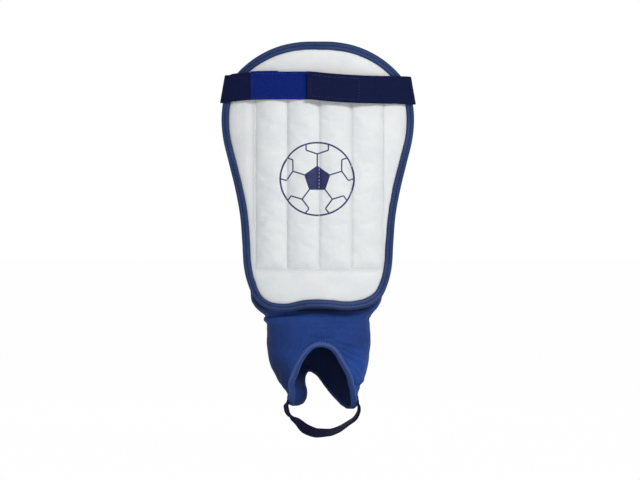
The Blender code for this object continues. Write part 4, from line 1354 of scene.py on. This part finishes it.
def build_panel(name, angles, rows, nodes):
    """A panel of knit between the sleeve's top edge and its lower hem."""
    column, share = grid(angles, np.linspace(0, 1, rows))
    low_angle, low_z = above_lower_edge(column, 3.2)
    high_z = top_edge(column)
    angle = column + (low_angle - column) * share**2
    z = high_z + (low_z - high_z) * share
    outer, _ = sleeve_face(angle, z, 0.0)
    inner, _ = sleeve_face(angle, z, SLEEVE_T)

    # painted light and shade on the outer face; "inside" darkens the inner face: a darker inner
    # knit and painted shade, deepest towards the back
    ring = wrapped(angle)
    x = outer[..., 0]
    dark = np.where(ring < 0, 0.30 + 0.62 * smooth((-ring - 118) / 40.0),
                    0.35 + 0.60 * smooth((ring - 60) / 40.0))
    # painted shade down the left side, away from the light
    stretched = (smooth((-x - 17.0) / 26.0) * smooth((-128.0 - z) / 14.0)
                 * (0.62 + 0.38 * smooth((-160.0 - z) / 25.0)) * (np.abs(ring) < 100))
    facing = smooth((104 - np.abs(ring)) / 14.0)
    # painted shadow under the shield's bottom edge
    crease = np.exp(-(np.abs(z + 122.8 - 0.7 * np.abs(x - 12) / 30.0) / 2.1) ** 3)
    crease = crease * smooth((x + 40.0) / 26.0) * smooth((52.0 - x) / 12.0)
    # painted shade on the yoke's left corner
    corner = smooth((-x - 36.0) / 12.0) * smooth((z + 128.0) / 3.5)
    # painted shade on the lower left
    low_left = 1.4 * smooth((-x - 20.0) / 14.0) * smooth((-160.0 - z) / 22.0)
    seam = facing * np.clip(2.6 * crease + 1.6 * corner + low_left, 0, 2.5)
    # painted light on the lower right
    bright = facing * smooth((x - 16.0) / 18.0) * smooth((-150.0 - z) / 24.0)
    none = 0 * dark
    ob = slab(name, outer, inner, "knit", np.stack([angle * 0.82, z], -1), "knit_blue",
              sharp=70, inside=(none, dark), stretched=(stretched, none), seam=(seam, none),
              bright=(bright, none))
    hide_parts(*nodes)
    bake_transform(ob)


def build_hem(name, angles, place, height, thick, node):
    """Rounded tape over an edge. place gives the angle and z, given mm up from the edge."""
    sides = 20
    middle, _ = sleeve_face(*place(angles, height / 2), SLEEVE_T / 2)
    run = distance_along(middle)
    wobble = (1 + 0.05 * noise(run / 7.0, 0.5, 81) + 0.03 * noise(run / 2.2, 0.5, 82))[:, None]
    angle, turned = grid(angles, 2 * math.pi * (np.arange(sides) + 0.5) / sides)
    cosine, sine = np.cos(turned), np.sin(turned)
    up = height / 2 * (1 - np.sign(cosine) * np.abs(cosine) ** 0.9 * wobble)
    share = up / height
    full = 1 - 0.36 * smooth((share - 0.50) / 0.28)
    depth = SLEEVE_T / 2 - thick / 2 * np.sign(sine) * np.abs(sine) ** 0.85 * wobble * full
    points, _ = sleeve_face(*place(angle, up), depth)
    uv = np.stack(np.broadcast_arrays(run[:, None], np.arange(sides) * 0.7), -1)
    behind = smooth((np.abs(wrapped(angle)) - 92.0) / 16.0)
    # the groove darkens the stitch line and, as painted shade, the crease at the hem's top edge;
    # inside is painted shade on the tape's inner side, more at the back; the crest gets a painted
    # highlight
    ob = sweep(name, points, "hem", uv, "binding_blue", sharp=70,
               groove=np.maximum(bell(share - 0.80, 0.09) * 0.7, smooth((share - 0.93) / 0.05)),
               inside=smooth((depth - SLEEVE_T / 2) / 0.8) * (0.3 + 0.7 * behind),
               crest=bell(share - 0.52, 0.16) * (sine > 0))
    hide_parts(node)
    return ob


def build_hems():
    ob = build_hem("instep_hem", np.linspace(-90, 90, 230), above_lower_edge,
                   height=5.6, thick=6.0, node="instep_binding")
    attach(ob, "sleeve")
    ob = build_hem("heel_hem", np.linspace(90, 270, 240), above_lower_edge,
                   height=5.2, thick=4.8, node="heel_binding")
    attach(ob, "sleeve")
    ob = build_hem("cuff_hem", np.linspace(76, 284, 150),
                   lambda angle, up: (angle, top_edge(angle) - 3.0 + up),
                   height=4.4, thick=3.8, node="cuff_binding")
    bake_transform(ob)

    # stitches outside and inside the instep and heel hems: from the edge, depth, direction
    for name, look, distance, depth, sign in (
        ("hem_stitches", "thread_hem", 4.35, -0.86, 1.0),
        ("hem_inner_stitches", "thread_navy", 4.3, SLEEVE_T + 0.80, -1.0),
    ):
        places = []
        for start, stop in ((-89, 89), (91, 269)):
            angles = np.arange(start, stop, 0.2)
            points, normals = sleeve_face(*above_lower_edge(angles, distance), depth)
            run = distance_along(points)
            places += [(points[i], points[i + 1] - points[i - 1], normals[i] * sign)
                       for i in np.searchsorted(run, np.arange(1.2, run[-1] - 1.2, 2.6))]
        stitches(name, places, look, length=1.6, radius=0.30, slot="binding_blue",
                 rides="sleeve")


def build_side_seams():
    """A raised rib of overlock stitching up each side."""
    for word, angle in (("right", 90.0), ("left", 270.0)):
        z = np.linspace(float(lower_edge(angle)) + 4.6, float(top_edge(angle)) - 2.5, 150)
        z, turned = grid(z, 2 * math.pi * np.arange(10) / 10)
        depth = -0.10 - 0.42 * np.sin(turned) * (1 + 0.30 * np.cos(z * 3.4))
        points, _ = sleeve_face(angle + 1.15 * np.cos(turned), z, depth)
        ob = sweep(f"sleeve_side_seam_{word}", points, "overlock", np.stack([z, turned], -1),
                   "knit_blue", sharp=80)
        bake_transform(ob)


# inside each side: name, depths of its two faces, half size (degrees, mm), look, node, slot
ANKLE_PIECES = [
    ("foam_pad", (3.3, 7.1), (30.0, 17.0), "foam", "ankle_pad", "foam_grey"),
    ("pocket", (7.5, 8.7), (33.5, 20.0), "inner", "pad_pocket", "knit_blue"),
]
ANKLE_Z = -170.0


def build_ankle_piece(side, word, name, depths, size, look, node, slot):
    """An oval pad or pocket of two faces, each made of rings round its middle."""
    rings = np.array([0.0, 0.2, 0.4, 0.6, 0.78, 0.9, 0.97, 1.0])
    turns = np.linspace(0, 2 * math.pi, 48, endpoint=False)
    depth, ring, turned = np.meshgrid(depths, rings, turns, indexing="ij")
    if name == "pocket":
        depth = (depth - 4.2 * smooth((ring - 0.88) / 0.12)
                 + 0.18 * noise(turned * 6, ring * 5, 87))
    else:
        middle = sum(depths) / 2
        depth = middle + (depth - middle) * (0.35 + 0.65 * np.sqrt(np.maximum(0, 1 - ring**4)))
    angle = side * 90 + size[0] * ring * np.cos(turned)
    z = ANKLE_Z + size[1] * ring * np.sin(turned)

    def at(face, row, k):
        return (face * len(rings) + row) * len(turns) + k % len(turns)

    faces = [(at(face, row, k), at(face, row, k + 1), at(face, row + 1, k + 1),
              at(face, row + 1, k))
             for face in (0, 1) for row in range(len(rings) - 1) for k in range(len(turns))]
    rim = len(rings) - 1
    faces += [(at(0, rim, k), at(0, rim, k + 1), at(1, rim, k + 1), at(1, rim, k))
              for k in range(len(turns))]
    ob = put_mesh(f"ankle_{name}_{word}", plain_sleeve(angle, z, depth).reshape(-1, 3), faces,
                  look, np.stack([angle * 0.7, z], -1).reshape(-1, 2), slot, merge=True)
    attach(ob, "sleeve")
    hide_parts(f"{node}_{word}")


def build_sleeve():
    build_panel("sleeve_front_knit", np.linspace(-90, 90, 181), 96,
                ("sleeve_yoke", "sleeve_front_panel"))
    build_panel("sleeve_back_knit", np.linspace(90, 270, 131), 76, ("sleeve_back_panel",))
    build_hems()
    build_side_seams()
    for side, word in ((-1, "left"), (1, "right")):
        for piece in ANKLE_PIECES:
            build_ankle_piece(side, word, *piece)


# ---------------------------------------------------------------- stirrup
STIRRUP_Y = 28.0
STIRRUP_W, STIRRUP_T = 13.2, 1.35
STIRRUP_LEG = 17.0          # length of each leg along the band
STIRRUP_SEWN = 5.0          # how far each leg goes on up the side flap
STIRRUP_SHIFT = 2.4         # how far back the sewn ends lie

# the band from the left flap, under the foot, to the right one: x, z, tilt
STIRRUP = np.array([
    (-28.4, -206.0, -12.0), (-29.3, -210.2, -17.0), (-28.4, -214.4, -19.0),
    (-25.4, -218.6, -9.0), (-22.2, -221.8, 14.0), (-18.4, -225.2, 26.0),
    (-10.4, -232.2, 41.0), (0.0, -235.6, 36.0), (10.0, -235.4, 27.0), (18.0, -233.0, 22.0),
    (27.2, -227.2, 15.0), (35.2, -220.6, 12.0), (37.8, -213.2, 9.0), (36.7, -206.0, 5.0),
])
STIRRUP_RUN = distance_along(STIRRUP[:, :2])
STIRRUP_LENGTH = STIRRUP_RUN[-1]
STIRRUP_WAIST = STIRRUP_RUN[3] + 1.4        # where the band's edges curl most
STIRRUP_WEB = web_profile([(-1.0, 0.3), (-0.96, 0.8), (-0.9, 1.0)], 0.8, 21)


def stirrup_sample(run):
    """The band at a distance along it: (distance, point, across its width, through it)."""
    x, z, tilt = (float(v) for v in splines(STIRRUP_RUN, STIRRUP, run))
    after, before = (splines(STIRRUP_RUN, STIRRUP[:, :2], run + step) for step in (0.4, -0.4))
    ahead_x, ahead_z = (float(a) - float(b) for a, b in zip(after, before))
    length = math.hypot(ahead_x, ahead_z)
    down = np.array([ahead_z / length, 0.0, -ahead_x / length])
    cosine, sine = math.cos(math.radians(tilt)), math.sin(math.radians(tilt))
    wide = np.array([0.0, -cosine, 0.0]) + down * sine
    thin = down * cosine + np.array([0.0, sine, 0.0])
    return run, np.array([x, STIRRUP_Y, z]), wide, thin


def stirrup_samples(start, stop, count):
    return [stirrup_sample(run) for run in np.linspace(start, stop, count)]


def sewn_end(end, direction):
    """The band straight up from its end, listed from the top down."""
    _, (x, y, z), wide, thin = stirrup_sample(end)
    return [(end + direction * STIRRUP_SEWN * share,
             np.array([x, y, z + STIRRUP_SEWN * share]), wide, thin)
            for share in np.linspace(1, 0, 12)[:-1]]


def flap_x(side, y, z):
    """The middle of a leg's thickness on the flap: sunk in at its top, over the hem below."""
    half, front, back, middle_x, middle_y = (
        float(v) for v in splines(SLEEVE[:, 0], SLEEVE[:, 1:], z))
    reach = front if y < middle_y else back
    above = (-0.55 + 0.85 * float(smooth((-201.0 - z) / 2.6))
             + 1.5 * float(smooth((-203.5 - z) / 4.0)))
    curve = math.sqrt(max(0.05, 1 - ((y - middle_y) / reach) ** 2))
    return middle_x + side * (half * curve + above + 0.5 * STIRRUP_T)


def stirrup_band(name, samples):
    sections, uv = [], []
    for run, point, wide, thin in samples:
        side = math.copysign(1.0, point[0])
        # near its ends the band lies flat on the flap
        near_end = run < 9.0 or run > STIRRUP_LENGTH - 9.0
        lie = float(smooth((point[2] + 211.0) / 6.5)) if near_end else 0.0
        turned = math.copysign(1.0, thin[0] * point[0] if abs(thin[0]) > 1e-6 else 1.0)
        through = thin * (1 - lie) + np.array([side, 0, 0]) * lie * turned
        through = through / np.linalg.norm(through)
        outer, inner = [], []
        for share, full in STIRRUP_WEB:
            cord = 0.06 * math.cos(share * math.pi * 2 * 5) * (abs(share) < 0.88)
            curl = (0.35 * share * share * float(noise(run / 14.0, 1.0, 91))
                    + 0.10 * float(noise(run / 5.0, share, 92))
                    + 1.9 * share * share * bell(run - STIRRUP_WAIST, 4.5))
            middle = point + wide * (share * STIRRUP_W / 2) + thin * curl
            if lie > 0:
                y = (STIRRUP_Y + STIRRUP_SHIFT * lie
                     - share * STIRRUP_W / 2 * (1 - 0.32 * lie))
                target = np.array([flap_x(side, y, point[2]), y, middle[2]])
                middle = middle + (target - middle) * lie
            half = STIRRUP_T / 2 * full + cord
            outer.append(middle + through * half)
            inner.append(middle - through * half)
        sections.append(outer + inner[::-1])
        row = [(run, share * STIRRUP_W / 2) for share, _ in STIRRUP_WEB]
        uv.append(row + row[::-1])
    return sweep(name, sections, "stirrup", uv, "elastic_navy", sharp=75)


def build_stirrup():
    leg, length = STIRRUP_LEG, STIRRUP_LENGTH
    left_end, right_end = sewn_end(0.0, -1), sewn_end(length, 1)
    legs = {"left": left_end + stirrup_samples(0.0, leg, 20),
            "right": stirrup_samples(length - leg, length, 20) + right_end[::-1]}
    for word, samples in legs.items():
        ob = stirrup_band(f"stirrup_leg_web_{word}", samples)
        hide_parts(f"stirrup_{word}_leg")
        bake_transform(ob)
    ob = stirrup_band("stirrup_sole_web", stirrup_samples(leg, length - leg, 70))
    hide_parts("stirrup_sole_band")
    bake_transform(ob)

    # two short rows of stitches hold each leg to its flap
    places = []
    for side, samples, rows in ((-1.0, left_end, (2, 5)), (1.0, right_end, (8, 5))):
        for row in rows:
            z = samples[row][1][2]
            for shift in np.arange(-3.0, 3.1, 2.0):
                y = STIRRUP_Y + STIRRUP_SHIFT + shift
                x = flap_x(side, y, z) + side * (0.5 * STIRRUP_T + 0.08)
                places.append((np.array([x, y, z]), (0, 1.0, 0), (side, 0, 0)))
    stitches("stirrup_stitching", places, "thread_navy", length=1.8, radius=0.2,
             slot="elastic_navy", rides="sleeve")


# ---------------------------------------------------------------- stage, in metres
def build_world():
    """Plain white to the camera, a softer light to everything else."""
    world = bpy.data.worlds.new("studio")
    bpy.context.scene.world = world
    world.use_nodes = True
    tree = world.node_tree
    tree.nodes.clear()
    soft = add_node(tree, "Background", {"Color": (0.97, 0.985, 1.0, 1), "Strength": 0.36})
    plain = add_node(tree, "Background", {"Color": (1, 1, 1, 1), "Strength": 1.0})
    path = add_node(tree, "LightPath", {})
    mix = add_node(tree, "MixShader", {
        0: path.outputs["Is Camera Ray"], 1: soft.outputs[0], 2: plain.outputs[0]})
    add_node(tree, "OutputWorld", {"Surface": mix.outputs[0]})


def build_floor():
    """Pale, almost white to the camera, and seen from above only."""
    size, z = 40.0, -0.262
    mesh = bpy.data.meshes.new("floor")
    mesh.from_pydata([(-size, -size, z), (size, -size, z), (size, size, z), (-size, size, z)],
                     [], [(0, 1, 2, 3)])
    floor = bpy.data.objects.new("floor", mesh)
    bpy.context.scene.collection.objects.link(floor)
    material = bpy.data.materials.new("pale_floor")
    material.use_nodes = True
    tree = material.node_tree
    pale = tree.nodes["Principled BSDF"]
    pale.inputs["Base Color"].default_value = (0.9, 0.9, 0.9, 1)
    pale.inputs["Roughness"].default_value = 0.9
    glow = add_node(tree, "Emission", {"Strength": 1.0})
    clear = add_node(tree, "BsdfTransparent", {})
    path = add_node(tree, "LightPath", {})
    geometry = add_node(tree, "NewGeometry", {})
    glow_share = add_node(tree, "Math", {0: path.outputs["Is Camera Ray"], 1: 0.985},
                          operation="MULTIPLY")
    front = add_node(tree, "MixShader", {
        0: glow_share.outputs[0], 1: pale.outputs[0], 2: glow.outputs[0]})
    both = add_node(tree, "MixShader", {
        0: geometry.outputs["Backfacing"], 1: front.outputs[0], 2: clear.outputs[0]})
    tree.links.new(both.outputs[0], tree.nodes["Material Output"].inputs["Surface"])
    mesh.materials.append(material)


def add_light(name, place, target, size, power, colour=(1, 1, 1)):
    data = bpy.data.lights.new(name, "AREA")
    data.shape, data.size, data.energy, data.color = "SQUARE", size, power, colour
    ob = bpy.data.objects.new(name, data)
    ob.location = place
    ob.rotation_euler = (Vector(target) - Vector(place)).to_track_quat("-Z", "Y").to_euler()
    bpy.context.scene.collection.objects.link(ob)
    ob.visible_camera = False


def build_camera():
    data = bpy.data.cameras.new("camera")
    data.lens, data.sensor_width = 246.9, 36.0
    data.clip_start, data.clip_end = 0.05, 50
    ob = bpy.data.objects.new("camera", data)
    ob.location = (0.002, -4.0, -0.0585)
    ob.rotation_euler = (math.radians(90), 0, 0)
    scene = bpy.context.scene
    scene.collection.objects.link(ob)
    scene.camera = ob
    scene.view_settings.view_transform = "Standard"
    scene.view_settings.look = "None"


def build_stage():
    build_world()
    build_floor()
    add_light("key_light", place=(0.74, -1.62, 0.98), target=(0, 0, -0.05), size=0.40,
              power=22.0, colour=(1, 0.99, 0.97))
    add_light("fill_light", place=(-1.2, -1.4, 0.2), target=(0, 0, -0.06), size=1.2,
              power=1.8, colour=(0.95, 0.97, 1.0))
    add_light("back_light", place=(-0.3, 1.4, 0.9), target=(0, 0, -0.05), size=1.0, power=9.0)
    build_camera()


# ---------------------------------------------------------------- build
cover_level = build_cover()
build_quilting_stitches(cover_level)
build_binding(cover_level)
build_slats()
build_anchor()
build_edge_turn()
build_closing_end()
build_loop_patch()
build_hook_patch()
build_calf_band()
build_sleeve()
build_stirrup()
build_stage()
